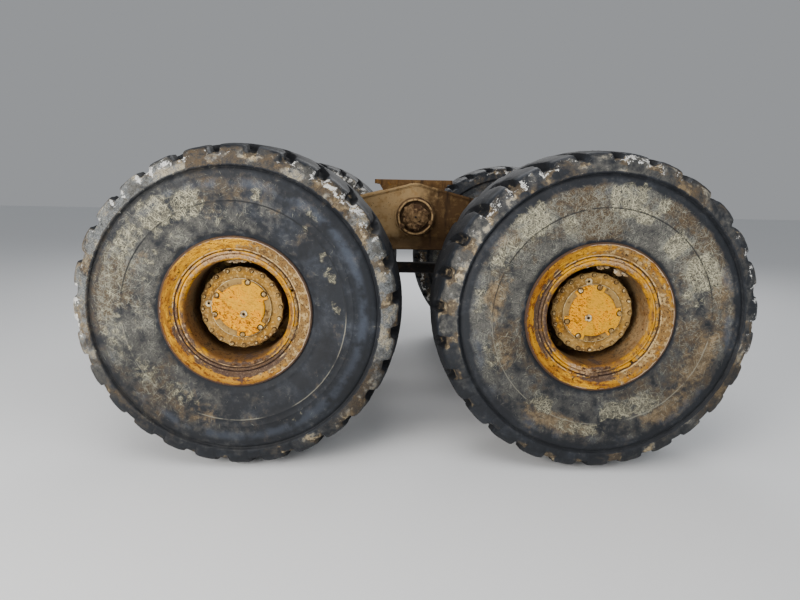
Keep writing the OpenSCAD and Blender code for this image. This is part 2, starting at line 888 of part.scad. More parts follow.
// Saddles that bolt under the truck's rear frame and clasp the cross tube.
module frame_saddles() {
    web_top = saddle_rise - saddle_t;
    wing = saddle_len / 2 - 30;
    color("#a9752a")
    for (side = [-1, 1])
        translate([0, side * saddle_y, pivot_z])
            difference() {
                union() {
                    for (edge = [-1, 1])
                        translate([0, edge * (saddle_w - saddle_t) / 2, 0])
                            rotate([90, 0, 0])
                                linear_extrude(saddle_t, center = true)
                                    polygon([
                                        [-cross_r - 34, -40],
                                        [cross_r + 34, -40],
                                        [cross_r + 44, 60],
                                        [wing, web_top],
                                        [-wing, web_top],
                                        [-cross_r - 44, 60]
                                    ]);
                    rotate([90, 0, 0])
                        cylinder(h = saddle_w, r = cross_r + 34, center = true);
                    translate([-saddle_len / 2, -saddle_w / 2, web_top])
                        cube([saddle_len, saddle_w, saddle_t]);
                }
                rotate([90, 0, 0])
                    cylinder(h = saddle_w + 2, r = cross_r + seat_gap, center = true);
                for (i = [-1, 1], j = [-1, 1])
                    translate([i * saddle_bolt_x / 2, j * saddle_bolt_y / 2, web_top - overlap])
                        cylinder(h = saddle_t + 2 * overlap, r = saddle_hole_r, $fn = 32);
            }
}

cross_tube();
frame_saddles();
trunnion_caps();
beam(-1);  // beam_left
beam(1);  // beam_right
spring_mounts(-1);  // spring_mounts_front
spring_mounts(1);  // spring_mounts_rear
axle_housing(-1);  // axle_housing_front
axle_housing(1);  // axle_housing_rear
diff_carrier(-1);  // diff_carrier_front
diff_carrier(1);  // diff_carrier_rear
control_rods(-1);  // control_rods_front
control_rods(1);  // control_rods_rear
drive_shaft();
brake_calipers(-1);  // brake_calipers_front
brake_calipers(1);  // brake_calipers_rear

places = ["left_front", "left_rear", "right_front", "right_rear"];
for (i = [0:3]) {
    at_wheel(i) tyre();
    at_wheel(i) rim();
    at_wheel(i) flange_ring();
    at_wheel(i) lock_ring();
    at_wheel(i) hub();
    at_wheel(i) hub_cover();
    at_wheel(i) brake_disc();
}
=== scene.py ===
# %% [markdown]
# # Rear tandem bogie of an articulated dump truck
# The photograph looks at two earthmover wheels from the truck's left side, a little from above.
# This lesson dresses the packed CAD model of that bogie: new tyres with worn rock lugs, rims with
# chipped paint, planetary hubs under dust, and beams, axles and rods under dried mud.

# %% Load the frame
import json
import math

import bpy
import numpy as np
from mathutils import Matrix, Vector


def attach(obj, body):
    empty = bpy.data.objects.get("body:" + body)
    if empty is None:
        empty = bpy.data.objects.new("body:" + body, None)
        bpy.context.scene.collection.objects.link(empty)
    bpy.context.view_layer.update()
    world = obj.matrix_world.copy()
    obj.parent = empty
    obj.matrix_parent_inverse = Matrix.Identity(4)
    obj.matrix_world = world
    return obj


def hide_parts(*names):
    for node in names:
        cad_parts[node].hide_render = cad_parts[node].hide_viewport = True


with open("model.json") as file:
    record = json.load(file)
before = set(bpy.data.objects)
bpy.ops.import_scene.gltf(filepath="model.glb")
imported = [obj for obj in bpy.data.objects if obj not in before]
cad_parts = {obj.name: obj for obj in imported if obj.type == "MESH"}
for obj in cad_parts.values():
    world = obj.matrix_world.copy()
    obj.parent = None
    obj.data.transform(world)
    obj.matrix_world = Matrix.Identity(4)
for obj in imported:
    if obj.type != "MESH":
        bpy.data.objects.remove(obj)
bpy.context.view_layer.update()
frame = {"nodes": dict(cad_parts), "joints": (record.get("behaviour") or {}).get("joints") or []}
nodes = frame["nodes"]
MM = 0.001

# %% [markdown]
# ## Where the wheels are
# Every wheel turns about its own hinge, so the hinges give the four axle ends. A wheel piece is
# modelled once, round its axle and with its outer side towards -Y, and each wheel gets a copy that
# is turned by that wheel's phase. The right side is a mirror image of the left.

# %% Wheel places
PLACES = ("left_front", "left_rear", "right_front", "right_rear")
PHASE = {"left_front": 173, "left_rear": 100, "right_front": 20, "right_rear": 250}
HINGES = {joint["child"]: Vector(joint["pos_m"]) for joint in frame["joints"]}
CENTRE = {place: HINGES["wheel_" + place] for place in PLACES}
FRONT_X, REAR_X = CENTRE["left_front"].x, CENTRE["left_rear"].x
AXLE_Z = CENTRE["left_front"].z
print("wheel centres:", {place: tuple(round(c, 3) for c in CENTRE[place]) for place in PLACES})

# %% A copy for each wheel
def wheel_matrix(place):
    """Takes a piece from the wheel's own frame to its place on the truck."""
    side = -1 if place.startswith("right") else 1
    turn = Matrix.Rotation(-math.radians(PHASE[place]), 4, "Y")
    return Matrix.Translation(CENTRE[place]) @ Matrix.Diagonal((1, side, 1, 1)) @ turn


def put_on_wheel(piece, place, node=None):
    """Moves a piece to its wheel, gives it that wheel's body, and hides the node it replaces."""
    piece.data.transform(wheel_matrix(place))
    if place.startswith("right"):
        piece.data.flip_normals()
    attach(piece, "wheel_" + place)
    if node:
        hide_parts(f"{node}_{place}")
    return piece


def copy_to_wheels(template, name, replaced=True):
    """Copies a finished piece to all four wheels, each copy with its own mesh, and removes it."""
    made = []
    for place in PLACES:
        title = f"{name}_look_{place}" if replaced else f"{name}_{place}"
        piece = bpy.data.objects.new(title, template.data.copy())
        bpy.context.collection.objects.link(piece)
        made.append(put_on_wheel(piece, place, name if replaced else None))
    bpy.data.objects.remove(template)
    print(name, "on", len(made), "wheels,", len(made[0].data.polygons), "faces each")
    return made


print("copies on the left stand at y =", round(wheel_matrix("left_rear").to_translation().y, 3))

# %% [markdown]
# ## Camera, floor and light
# The camera is a pinhole fitted to the outlines of both wheels in the photograph. It stands 4.6 m
# from the middle of the bogie, eye high, and looks slightly down. The day is bright, with a pale
# sky: a large warm lamp from the upper left is the sun behind thin cloud, one above and one from
# the right are the sky, a weak one near the ground is what the ground throws back, and one behind
# the bogie lights its far side.

# %% Camera
PHOTO_W = 800
FOCAL_PX = 599.0
EYE = Vector((-0.163, -4.615, 1.513))
PITCH, YAW, ROLL = (math.radians(a) for a in (10.78, 1.21, 1.11))

forward = Vector((math.sin(YAW) * math.cos(PITCH), math.cos(YAW) * math.cos(PITCH), -math.sin(PITCH)))
level = Vector((math.cos(YAW), -math.sin(YAW), 0))
above = level.cross(forward)
right = math.cos(ROLL) * level + math.sin(ROLL) * above
up = -math.sin(ROLL) * level + math.cos(ROLL) * above
camera_data = bpy.data.cameras.new("camera")
camera_data.sensor_width = 36
camera_data.lens = camera_data.sensor_width * FOCAL_PX / PHOTO_W
camera = bpy.data.objects.new("camera", camera_data)
camera.matrix_world = Matrix.Translation(EYE) @ Matrix((right, up, -forward)).transposed().to_4x4()
bpy.context.collection.objects.link(camera)
bpy.context.scene.camera = camera
print("lens", round(camera_data.lens, 2), "mm")

# %% Floor
bpy.ops.object.select_all(action="DESELECT")
bpy.ops.mesh.primitive_plane_add(size=60, location=(0, 0, 0))
floor = bpy.context.object
floor.name = "floor"
floor_paint = bpy.data.materials.new("pale_floor")
floor_paint.use_nodes = True
floor_shader = floor_paint.node_tree.nodes["Principled BSDF"]
floor_shader.inputs["Base Color"].default_value = (0.84, 0.85, 0.86, 1)
floor_shader.inputs["Roughness"].default_value = 0.9
floor.data.materials.append(floor_paint)
print("floor:", tuple(floor.dimensions))

# %% Sky and lamps
world = bpy.data.worlds.new("sky")
bpy.context.scene.world = world
world.use_nodes = True
world.node_tree.nodes["Background"].inputs["Color"].default_value = (0.90, 0.93, 0.97, 1)
world.node_tree.nodes["Background"].inputs["Strength"].default_value = 0.36

# Name, place, target, size in metres, power in watts and colour.
LAMPS = (("key", (-4.0, -6.2, 2.6), (0, -1.2, 0.8), 3.0, 450, (1.0, 0.97, 0.93)),
         ("bounce", (-0.6, -5.6, 0.5), (0, -1.2, 0.9), 2.6, 20, (0.96, 0.98, 1.0)),
         ("high", (-1.0, -4.5, 6.5), (0, -0.8, 0.8), 4.0, 170, (1.0, 0.98, 0.96)),
         ("fill", (4.2, -5.6, 3.6), (0.6, -1.2, 0.9), 4.0, 115, (0.96, 0.98, 1.0)),
         ("back", (1.0, 6.0, 5.0), (0, 0.5, 0.8), 4.0, 260, (1.0, 1.0, 1.0)))
for name, place, target, size, power, colour in LAMPS:
    lamp = bpy.data.lights.new(name, "AREA")
    lamp.size = size
    lamp.energy = power
    lamp.color = colour
    holder = bpy.data.objects.new(name, lamp)
    holder.location = place
    holder.rotation_euler = (Vector(target) - Vector(place)).to_track_quat("-Z", "Y").to_euler()
    holder.visible_camera = False
    bpy.context.collection.objects.link(holder)
print("lamps:", len(LAMPS))

# %% [markdown]
# ## Small tools
# The same few steps come back on every piece: a fade between two values, a look at a mesh's
# corners, and a map painted on them. Each is written once here.

# %% Fades
def smooth(x):
    """0 below 0, 1 above 1 and an even ramp between."""
    x = np.clip(x, 0, 1)
    return x * x * (3 - 2 * x)


def bump_at(value, place, width):
    """1 at a place, fading to 0 beyond a width."""
    return np.exp(-((value - place) / width) ** 2)


def bump_band(value, low, high):
    """1 between low and high with soft ends of 20 mm."""
    return smooth((value - low + 20) / 20) * smooth((high + 20 - value) / 20)


def away(angle, centre):
    """Angle between two directions, in degrees."""
    return np.abs((angle - centre + 180) % 360 - 180)


def spots(angle, table, blend=np.maximum, start=0.0):
    """Spots round a wheel from rows of middle angle, half angle and strength."""
    total = np.full_like(angle, start)
    for middle, half_angle, strength in table:
        total = blend(total, strength * bump_at(away(angle, middle), 0, half_angle))
    return total


print("a fade half way:", smooth(0.5))

# %% Random relief
def waves(points, size, seed, count=14):
    """Soft random relief from -1 to 1 with lumps of the given size, made of seeded sine waves."""
    rng = np.random.default_rng(seed)
    total = np.zeros(points.shape[0])
    for _ in range(count):
        direction = rng.normal(size=3)
        direction /= np.linalg.norm(direction)
        length = size * rng.uniform(0.7, 1.6)
        total += np.sin(points @ direction * (2 * math.pi / length) + rng.uniform(0, 2 * math.pi))
    return total / math.sqrt(count / 2) / 2


print("relief at three points:", waves(np.eye(3), 1.0, 1).round(2))

# %% Corners and maps of a piece
def corners_of(piece):
    """Corner places of a piece, in metres, one row each."""
    flat = np.zeros(len(piece.data.vertices) * 3)
    piece.data.vertices.foreach_get("co", flat)
    return flat.reshape(-1, 3)


def move_corners(piece, places):
    """Moves the corners of a piece to new places, in metres."""
    piece.data.vertices.foreach_set("co", places.ravel())


def set_map(piece, title, chart):
    """Stores four values for each corner as a colour map."""
    layer = piece.data.color_attributes.new(name=title, type="FLOAT_COLOR", domain="POINT")
    layer.data.foreach_set("color", np.clip(chart, 0, 1).ravel())


def shade(sharp_angle):
    """Shades the active piece smooth, with sharp edges above an angle in degrees."""
    bpy.ops.object.shade_smooth_by_angle(angle=math.radians(sharp_angle))


print("corners of the floor:", corners_of(floor).round(1).tolist())

# %% [markdown]
# ## Tyre
# A rock tyre is a body of revolution with two staggered rows of voids cut into its tread. It could
# be a lathe shape with boolean cuts, but a boolean leaves long thin faces and sharp, new-looking
# edges. Here a flat grid is laid out as the unrolled skin of the tyre: its rows run along the
# section from the tread's middle over the shoulder and the sidewall to the bead, and its columns
# bunch up at the walls of the voids. Rolling the grid both ways closes it into a tyre whose lugs
# are rounded, chipped and uneven, as worn rubber is.

# %% Tyre section
TYRE_R = 860.0
HALF_TREAD = 332.0
CROWN_ARC = 1840.0
SHOULDER_DROP = 85.0
SKIRT_R, FLANGE_R = 738.0, 393.5
LUGS = 28
FLOOR_R, FLOOR_SLOPE = 832.0, math.tan(math.radians(11))
PITCH_LEN = 2 * math.pi * FLOOR_R / LUGS


def crown_radius(w):
    """Radius of the tread surface at a distance w from the tyre's middle plane, in mm."""
    return TYRE_R - w * w / (2 * CROWN_ARC) - SHOULDER_DROP * (abs(w) / HALF_TREAD) ** 16


def wall_w(r):
    """Distance of the sidewall from the middle plane at radius r, in mm."""
    widest = 620.0
    if r > widest:
        return 338 - 16 * ((r - widest) / (SKIRT_R - widest)) ** 2
    return 338 - 40 * ((widest - r) / (widest - FLANGE_R)) ** 2


def rib(r, place, width, height):
    """A rounded rib or groove moulded into the sidewall."""
    return height * math.exp(-((r - place) / width) ** 2)


def section_rows():
    """(radius, width) pairs in mm from the middle of the tread to the liner, for one half."""
    tread = [0, 14, 28, 40, 46, 50, 55, 62, 76, 92, 110, 130, 150, 170, 190, 210, 230, 248, 264, 278,
             290, 299, 306, 312, 317, 321.5, 325, 328, 330, 331.4]
    rows = [(crown_radius(w), w) for w in tread]
    rows += [(744, 331.6), (739, 330.5), (736, 327), (733, 319.5), (727, 317.5)]
    wall = [719, 708, 694, 678, 662, 646, 630, 616, 609, 606, 603, 599, 586, 575, 571.5, 568.5, 565,
        552,
            536, 518, 500, 482, 464, 448, 438, 431, 425, 419, 410]
    for r in wall:
        detail = rib(r, 604.5, 3, 1.8) + rib(r, 570, 3, 1.8) + rib(r, 428, 8, 4) + rib(r, 690, 9, 1.5)
        rows.append((r, wall_w(r) + detail))
    rows += [(399.5, 298), (389.5, 298.7), (375.5, 290.7), (357.5, 279.2), (329.5, 279.2),
        (317.8, 267.2),
             (329.5, 215.5), (400, 262), (560, 300), (700, 292), (766, 206), (775, 80)]
    return rows


print("section:", len(section_rows()), "rows for one half")

# %% Columns round the tyre
def column_offsets(half_void):
    """Offsets of one pitch's columns from the middle of its void, in mm."""
    land = PITCH_LEN / 2 - half_void - 12
    near = [0.45 * (half_void - 12), half_void - 12, half_void - 6, half_void, half_void + 5,
        half_void + 12]
    near += [half_void + 12 + land * k / 3 for k in (1, 2)]
    return [-x for x in reversed(near)] + [0] + near + [PITCH_LEN / 2]


COLUMNS_PER_PITCH = len(column_offsets(30))
print("tyre grid:", LUGS * COLUMNS_PER_PITCH, "columns,", 2 * len(section_rows()) - 1, "rows")

# %% Tyre tread
def void_middle(w):
    """Sideways place of a void's middle line across the tread, in mm, rows staggered by half a pitch."""
    bend = np.interp(np.abs(w), [0, 46, 120, 170, 260, 372], [66, 62, 30, 12, 4, 0])
    return bend - (PITCH_LEN / 2) * smooth((46 - w) / 92)


def void_half_width(w):
    """Half the width of a void, in mm: narrow near the middle, wide at the shoulder."""
    return np.interp(np.abs(w), [0, 46, 170, 300, 372], [17, 18, 27, 36, 40])


half = section_rows()
rows = half + [(r, -w) for r, w in reversed(half[1:])]
row_count = len(rows)
column_count = LUGS * COLUMNS_PER_PITCH
rows.append(rows[0])
row_r, row_w = np.array(rows).T
print("widest row:", round(row_w.max(), 1), "mm from the middle plane")

# %% Tyre dirt
# Caked mud on the near sidewalls: angle from the truck's rear over the top in degrees, radius in
# mm, half angle, half width and strength.
CAKES = {
    "left_front": [(112, 590, 9, 80, 0.75), (127, 620, 9, 90, 0.8), (98, 500, 7, 55, 0.4),
                   (84, 500, 6, 60, 0.25), (146, 640, 13, 70, 0.6), (165, 600, 14, 90, 0.45),
                   (190, 620, 16, 70, 0.45), (214, 560, 10, 60, 0.5), (236, 520, 12, 50, 0.5),
                   (4, 520, 5, 22, 0.5), (22, 525, 6, 34, 0.5), (34, 545, 4, 34, 0.45),
                   (50, 560, 3, 26, 0.35), (52, 645, 4, 24, 0.6), (78, 620, 3, 40, 0.6),
                   (128, 475, 10, 45, 0.35), (152, 480, 14, 55, 0.4), (182, 480, 15, 55, 0.35),
                   (300, 640, 10, 40, 0.25)],
    "left_rear": [(88, 610, 3, 70, 0.9), (80, 610, 6, 90, 0.95), (73, 560, 8, 50, 0.8),
                  (66, 640, 3, 50, 0.8), (48, 520, 6, 70, 0.95), (26, 560, 11, 90, 0.9),
                  (16, 480, 8, 60, 0.6), (128, 620, 9, 80, 0.85), (112, 520, 5, 60, 0.6),
                  (148, 600, 11, 60, 0.6), (172, 640, 8, 40, 0.5), (200, 600, 10, 60, 0.45),
                  (238, 540, 8, 50, 0.6), (283, 510, 10, 50, 0.9), (300, 520, 9, 60, 0.8),
                  (262, 600, 14, 40, 0.65)]}
# Smears of brown on the near sidewalls, laid out like the cakes.
SMEARS = {
    "left_front": [(84, 610, 9, 60, 0.12), (102, 510, 12, 45, 0.3), (246, 560, 18, 80, 0.6),
                   (318, 600, 14, 60, 0.25), (150, 520, 14, 40, 0.4)],
    "left_rear": [(168, 560, 13, 75, 1.0), (142, 640, 8, 45, 0.7), (200, 520, 14, 60, 0.7),
                  (338, 570, 24, 80, 1.0), (306, 620, 16, 60, 0.9), (250, 600, 22, 70, 0.9),
                  (58, 640, 22, 45, 0.5), (15, 620, 14, 60, 0.8)]}
# Film of mud on a sidewall: its mean, how much more one side has, and the angle of that side. The
# extra on that side is also painted light, for the light that falls on it.
FILM_AND_LIGHT = {"left_front": (0.25, 0.31, 168), "left_rear": (0.52, 0.14, 95),
        "right_front": (0.45, 0.15, 40), "right_rear": (0.40, 0.20, 200)}
# How much of the film is missing from the smooth band under the shoulder.
BUTTRESS = {"left_front": 0.35, "left_rear": 0.85}
# Film on the shoulder, brown mud in the voids, and pale flecks of snow and dry mud on the shoulder that
# are also painted glints along its edges: angle and half angle in degrees, strength. The far tyres,
# which the photograph doesn't show, share the last row.
SHOULDER = {"left_front": [(10, 60, 0.9), (158, 58, 1.1)],
            "left_rear": [(70, 45, 0.45), (165, 40, 0.5), (330, 50, 0.4)],
            "far": [(40, 70, 0.5), (220, 60, 0.5)]}
BROWN = {"left_front": [(28, 34, 1.0), (78, 10, 0.8), (300, 22, 0.7), (205, 16, 0.4)],
         "left_rear": [(175, 36, 1.0), (128, 24, 0.8), (70, 25, 0.7), (268, 40, 0.8), (350, 40, 0.5)],
         "far": [(200, 60, 0.9), (20, 50, 0.9)]}
FLECK_GLINTS = {"left_front": [(45, 42, 1), (125, 40, 1), (178, 22, 1)],
          "left_rear": [(125, 30, 1), (78, 18, 1), (10, 30, 1)],
          "far": [(60, 60, 1), (200, 40, 1)]}


def heaps(angle, radius, table, power):
    """Patches on a sidewall from rows of angle, radius, half angle, half width and strength."""
    total = np.zeros_like(radius)
    for middle, middle_r, half_angle, half_width, strength in table:
        fade = (away(angle, middle) / half_angle) ** power + ((radius - middle_r) / half_width) ** power
        total = np.maximum(total, strength * np.exp(-fade))
    return total


def scattered_heaps(seed):
    """Nine patches at random, for a tyre that the photograph doesn't show."""
    rng = np.random.default_rng(seed)
    ranges = ((0, 360), (480, 640), (5, 16), (40, 90), (0.35, 0.65))
    return [tuple(rng.uniform(low, high) for low, high in ranges) for _ in range(9)]


print("dirt laid out for", len(CAKES), "near tyres")

# %% Tyre grid
TREAD_ROWS = 30
VOID_END = 330


def tyre_grid():
    """Radius, width, distance from a void's middle and angle of each corner, as row x column."""
    r = np.repeat(row_r[:, None], column_count + 1, axis=1)
    w = np.repeat(row_w[:, None], column_count + 1, axis=1)
    offset = np.zeros_like(r)
    along = np.zeros_like(r)
    pitch = np.repeat(np.arange(LUGS), COLUMNS_PER_PITCH) * PITCH_LEN
    for i, wide in enumerate(row_w):
        half_void = float(void_half_width(min(abs(wide), VOID_END)))
        line = np.tile(np.array(column_offsets(half_void)), LUGS)
        offset[i, :-1] = line
        along[i, :-1] = pitch + line + float(void_middle(wide))
        offset[i, -1] = line[0]
        along[i, -1] = along[i, 0] + LUGS * PITCH_LEN
    return r, w, offset, along / FLOOR_R


print("corners of a tyre:", tyre_grid()[0].size)

# %% Tyre shape and maps
def tyre_points(place, seed):
    """Corner places of one tyre and its maps wear, mud and look, as arrays of row x column."""
    r, w, offset, angle = tyre_grid()
    wide = np.abs(w)
    row = np.arange(len(row_r))[:, None]
    tread_rows = (row < TREAD_ROWS) | (row > row_count - TREAD_ROWS)
    on_tread = np.repeat(tread_rows, column_count + 1, axis=1)
    outside = np.abs(offset) - void_half_width(np.minimum(wide, VOID_END))
    in_void = np.interp(outside, [-12, -6, 0], [1, 0.74, 0]) * smooth((wide - 45) / 11)
    direct_x, direct_z = np.cos(angle), np.sin(angle)
    flat = np.stack([r * direct_x, w, r * direct_z], axis=-1).reshape(-1, 3)
    lumps = waves(flat, 90, seed).reshape(r.shape)
    chips = waves(flat, 34, seed + 1, 20).reshape(r.shape)
    grain = waves(flat, 17, seed + 2, 20).reshape(r.shape)

    # The voids are cut down to their floor, less the mud in them, and the lugs' edges are worn off.
    depth = np.maximum(0, r - (FLOOR_R - wide * FLOOR_SLOPE)) * on_tread
    fill = 5 + 15 * smooth((wide - 190) / 90) + np.clip(lumps * 0.8 + 0.35, 0, 1) * 9 + grain * 1.5
    edge = np.exp(-np.maximum(outside, 0) / 10.0) * smooth((wide - 40) / 20)
    shoulder = smooth((wide - 255) / 60)
    worn = edge * (4.2 + 4.0 * shoulder) + np.clip(chips - 0.25, 0, 1) * (6 * edge + 4 * shoulder)
    worn += 1.2 * (lumps + 1) + 0.8 * grain
    drop = in_void * np.maximum(0, depth - fill) + (1 - in_void) * worn * on_tread
    r = r - np.where(on_tread, drop, 0)
    wall = ~on_tread & (r > 402) & (wide > 296)
    w = w + np.sign(w) * np.where(wall, 1.4 * lumps + 0.7 * chips, 0)
    wide = np.abs(w)
    places = np.stack([r * direct_x, -w, r * direct_z], axis=-1) * MM

    # The wear map: mud deep in the voids, mud spilt beside them, the groove and the shoulder's band. The
    # groove is painted dark, as the shadow under the shoulder's overhang and dirt.
    around = np.degrees(angle) + PHASE[place]
    near = place if place in CAKES else "far"
    brown = spots(around, BROWN[near], start=0.25)
    deep = in_void * smooth(depth / 14) * (0.45 + 0.55 * brown) * (0.85 + 0.35 * lumps)
    spill = np.exp(-np.maximum(outside, 0) / 42) * smooth((wide - 215) / 70) * on_tread
    spill = spill * brown * (0.75 + 0.6 * lumps)
    groove = smooth((r - 700) / 24) * smooth((743 - r) / 6) * ~on_tread
    wear = np.stack([deep, spill, groove, on_tread * bump_band(wide, 262, 340)], axis=-1)

    # The mud map: film with painted light on one side, cakes, pale flecks on the shoulder that are also
    # painted glints, and the clean crown.
    mean, more, side = FILM_AND_LIGHT[place]
    film_and_light = mean + more * np.cos(np.radians(around - side)) + 0.16 * lumps + 0.05 * chips
    film_and_light = film_and_light * smooth((r - 396) / 26) * (1 - BUTTRESS.get(place, 0.5) * smooth((r - 664) / 34))
    on_shoulder = spots(around, SHOULDER[near], np.add) + 0.12 * lumps
    film_and_light = np.where(on_tread, on_shoulder * smooth((wide - 262) / 40), film_and_light)
    scattered = scattered_heaps(seed)
    cake = heaps(around, r, CAKES.get(place, scattered), 4)
    cake = (cake + 0.22 * chips * (cake > 0.15)) * wall * (np.sign(w) > 0)
    lip = np.exp(-np.abs(outside) / 14) * shoulder + shoulder * smooth((lumps - 0.2) / 0.4)
    # Pale flecks of snow and dry mud, and painted glints along the lug edges and the shoulder's edge.
    fleck_glint = spots(around, FLECK_GLINTS[near]) * np.clip(lip + 0.35, 0, 1)
    fleck_glint = fleck_glint * bump_band(wide, 272, 312) * on_tread * (0.8 + 0.4 * chips)
    mud = np.stack([film_and_light, cake, fleck_glint, on_tread * smooth((250 - wide) / 30)], axis=-1)

    # The look map: radius in metres, smears, sidewall, and how far the corner is in the upper half.
    smear = heaps(around, r, SMEARS.get(place, scattered[:6]), 2) * wall
    # The upper half sets painted shade low on the tyre, and a painted shadow and highlight at a rib.
    upper = smooth(0.5 + 1.2 * np.sin(np.radians(around)))
    look = np.stack([r / 1000, smear, wall, upper], axis=-1)
    return places, {"wear": wear, "mud": mud, "look": look}


print("near tyres with cakes:", sorted(CAKES))

# %% Four tyres
def make_tyre(name, place, seed):
    """Lays out a grid, rolls it into a tyre and merges its seams."""
    bpy.ops.object.select_all(action="DESELECT")
    bpy.ops.mesh.primitive_grid_add(x_subdivisions=column_count, y_subdivisions=row_count, size=2)
    tyre = bpy.context.object
    tyre.name = name
    flat = corners_of(tyre)
    column = np.rint((flat[:, 0] + 1) / 2 * column_count).astype(int)
    row = np.rint((flat[:, 1] + 1) / 2 * row_count).astype(int)
    places, charts = tyre_points(place, seed)
    move_corners(tyre, places[row, column])
    for title, chart in charts.items():
        set_map(tyre, title, chart[row, column])
    bpy.ops.object.mode_set(mode="EDIT")
    bpy.ops.mesh.select_all(action="SELECT")
    bpy.ops.mesh.remove_doubles(threshold=0.00005)
    bpy.ops.mesh.normals_make_consistent(inside=False)
    bpy.ops.object.mode_set(mode="OBJECT")
    shade(50)
    return tyre


tyres = []
for number, place in enumerate(PLACES):
    tyre = make_tyre("tyre_look_" + place, place, 11 + 7 * number)
    tyres.append(put_on_wheel(tyre, place, "tyre"))
print("tyres:", len(tyres), "of", len(tyres[0].data.polygons), "faces")

# %% [markdown]
# ## Finishes
# Every finish here is old paint or rubber under dust, dried mud and rust. A flat colour would look
# like plastic, and a photograph wrapped round the parts would slide and stretch. So each finish is
# built up in coats, as on the real machine: a ground colour, then a coat of another colour
# wherever a soft random pattern, a row of scratches or the piece's own wear map lets it through.
# Each coat has a colour, 0 to 255, its roughness, and the masks that say where it lies. A mask in
# brackets is a low value, a high value and the patterns or maps that are weighed between them.

# %% Patterns and maps
class Patterns:
    """A new material, and the random patterns and painted maps that its coats can use."""

    def __init__(self, name):
        self.material = bpy.data.materials.new(name)
        self.material.use_nodes = True
        self.tree = self.material.node_tree
        self.place = self.node("ShaderNodeTexCoord").outputs["Object"]

    def node(self, kind):
        return self.tree.nodes.new(kind)

    def wire(self, source, socket):
        """Joins a socket or sets a plain number or colour."""
        if hasattr(source, "is_output"):
            self.tree.links.new(source, socket)
        else:
            socket.default_value = source

    def blotches(self, scale, detail=4.0, stretch=(1, 1, 1), turn=(0, 0, 0), shift=0.0, place=None):
        """Soft random pattern, scale in lumps per metre."""
        mapping = self.node("ShaderNodeMapping")
        mapping.vector_type = "TEXTURE"
        mapping.inputs["Scale"].default_value = [1 / s for s in stretch]
        mapping.inputs["Rotation"].default_value = [math.radians(a) for a in turn]
        mapping.inputs["Location"].default_value = (shift, shift * 0.7, shift * 1.3)
        noise = self.node("ShaderNodeTexNoise")
        noise.inputs["Scale"].default_value = scale
        noise.inputs["Detail"].default_value = detail
        noise.inputs["Roughness"].default_value = 0.6
        self.wire(place or self.place, mapping.inputs["Vector"])
        self.wire(mapping.outputs["Vector"], noise.inputs["Vector"])
        return noise.outputs["Fac"]

    def map_of(self, attribute):
        """The four values of a map painted on the piece's own corners, each used as a mask."""
        reader = self.node("ShaderNodeAttribute")
        reader.attribute_name = attribute
        split = self.node("ShaderNodeSeparateColor")
        self.wire(reader.outputs["Color"], split.inputs["Color"])
        return [split.outputs[c] for c in ("Red", "Green", "Blue")] + [reader.outputs["Alpha"]]

    def vector_of(self, attribute):
        """A place painted on the piece's own corners."""
        reader = self.node("ShaderNodeAttribute")
        reader.attribute_name = attribute
        return reader.outputs["Vector"]


print("patterns:", [name for name in vars(Patterns) if "_" not in name[:1]])

# %% Masks
class Masks(Patterns):
    """Masks made of patterns: where a coat lies and where it doesn't."""

    def pick(self, pattern, low, high):
        """Turns a pattern into a mask: 0 below low, 1 above high."""
        ramp = self.node("ShaderNodeMapRange")
        ramp.interpolation_type = "SMOOTHSTEP"
        self.wire(pattern, ramp.inputs["Value"])
        ramp.inputs["From Min"].default_value = low
        ramp.inputs["From Max"].default_value = high
        return ramp.outputs["Result"]

    def sums(self, kind, a, b):
        """Adds, multiplies or compares two masks, kept within 0 and 1."""
        math_node = self.node("ShaderNodeMath")
        math_node.operation = kind
        math_node.use_clamp = True
        self.wire(a, math_node.inputs[0])
        self.wire(b, math_node.inputs[1])
        return math_node.outputs[0]

    def weigh(self, *terms):
        """Adds patterns, each alone or as a pair with its weight."""
        total = 0.0
        for term in terms:
            mask, weight = term if isinstance(term, tuple) else (term, 1.0)
            step = self.node("ShaderNodeMath")
            step.operation = "MULTIPLY_ADD"
            self.wire(mask, step.inputs[0])
            step.inputs[1].default_value = weight
            self.wire(total, step.inputs[2])
            total = step.outputs[0]
        return total

    def mask(self, low, high, *terms):
        """A mask that rises from 0 to 1 where the weighed terms pass from low to high."""
        single = len(terms) == 1 and not isinstance(terms[0], tuple)
        return self.pick(terms[0] if single else self.weigh(*terms), low, high)

    def cross(self, *masks):
        """Multiplies masks. One given as low, high and terms in brackets is made on the way."""
        masks = [self.mask(*m) if isinstance(m, tuple) else m for m in masks]
        total = masks[0]
        for mask in masks[1:]:
            total = self.sums("MULTIPLY", total, mask)
        return total

    def lane(self, value, low, high, soft=0.0016):
        """1 between two radii in metres, with soft ends."""
        above = self.pick(value, low - soft, low + soft)
        return self.cross(above, self.pick(value, high + soft, high - soft))

    def strokes(self, angles, scale=16.0):
        """Fine short strokes at several angles, as dried mud shows where it was scraped."""
        field = None
        for i, angle in enumerate(angles):
            line = self.blotches(scale, 2.0, (1, 1.5, 12), (0, angle, 0), 3.1 * i)
            field = line if field is None else self.sums("MAXIMUM", field, line)
        return field


print("masks:", [name for name in vars(Masks) if "_" not in name[:1]])

# %% Coats of colour
def srgb(red, green, blue):
    """A colour, 0 to 255, as the linear values that Blender's sockets take."""
    return tuple((c / 255 / 12.92) if c < 11 else ((c / 255 + 0.055) / 1.055) ** 2.4
                 for c in (red, green, blue)) + (1.0,)


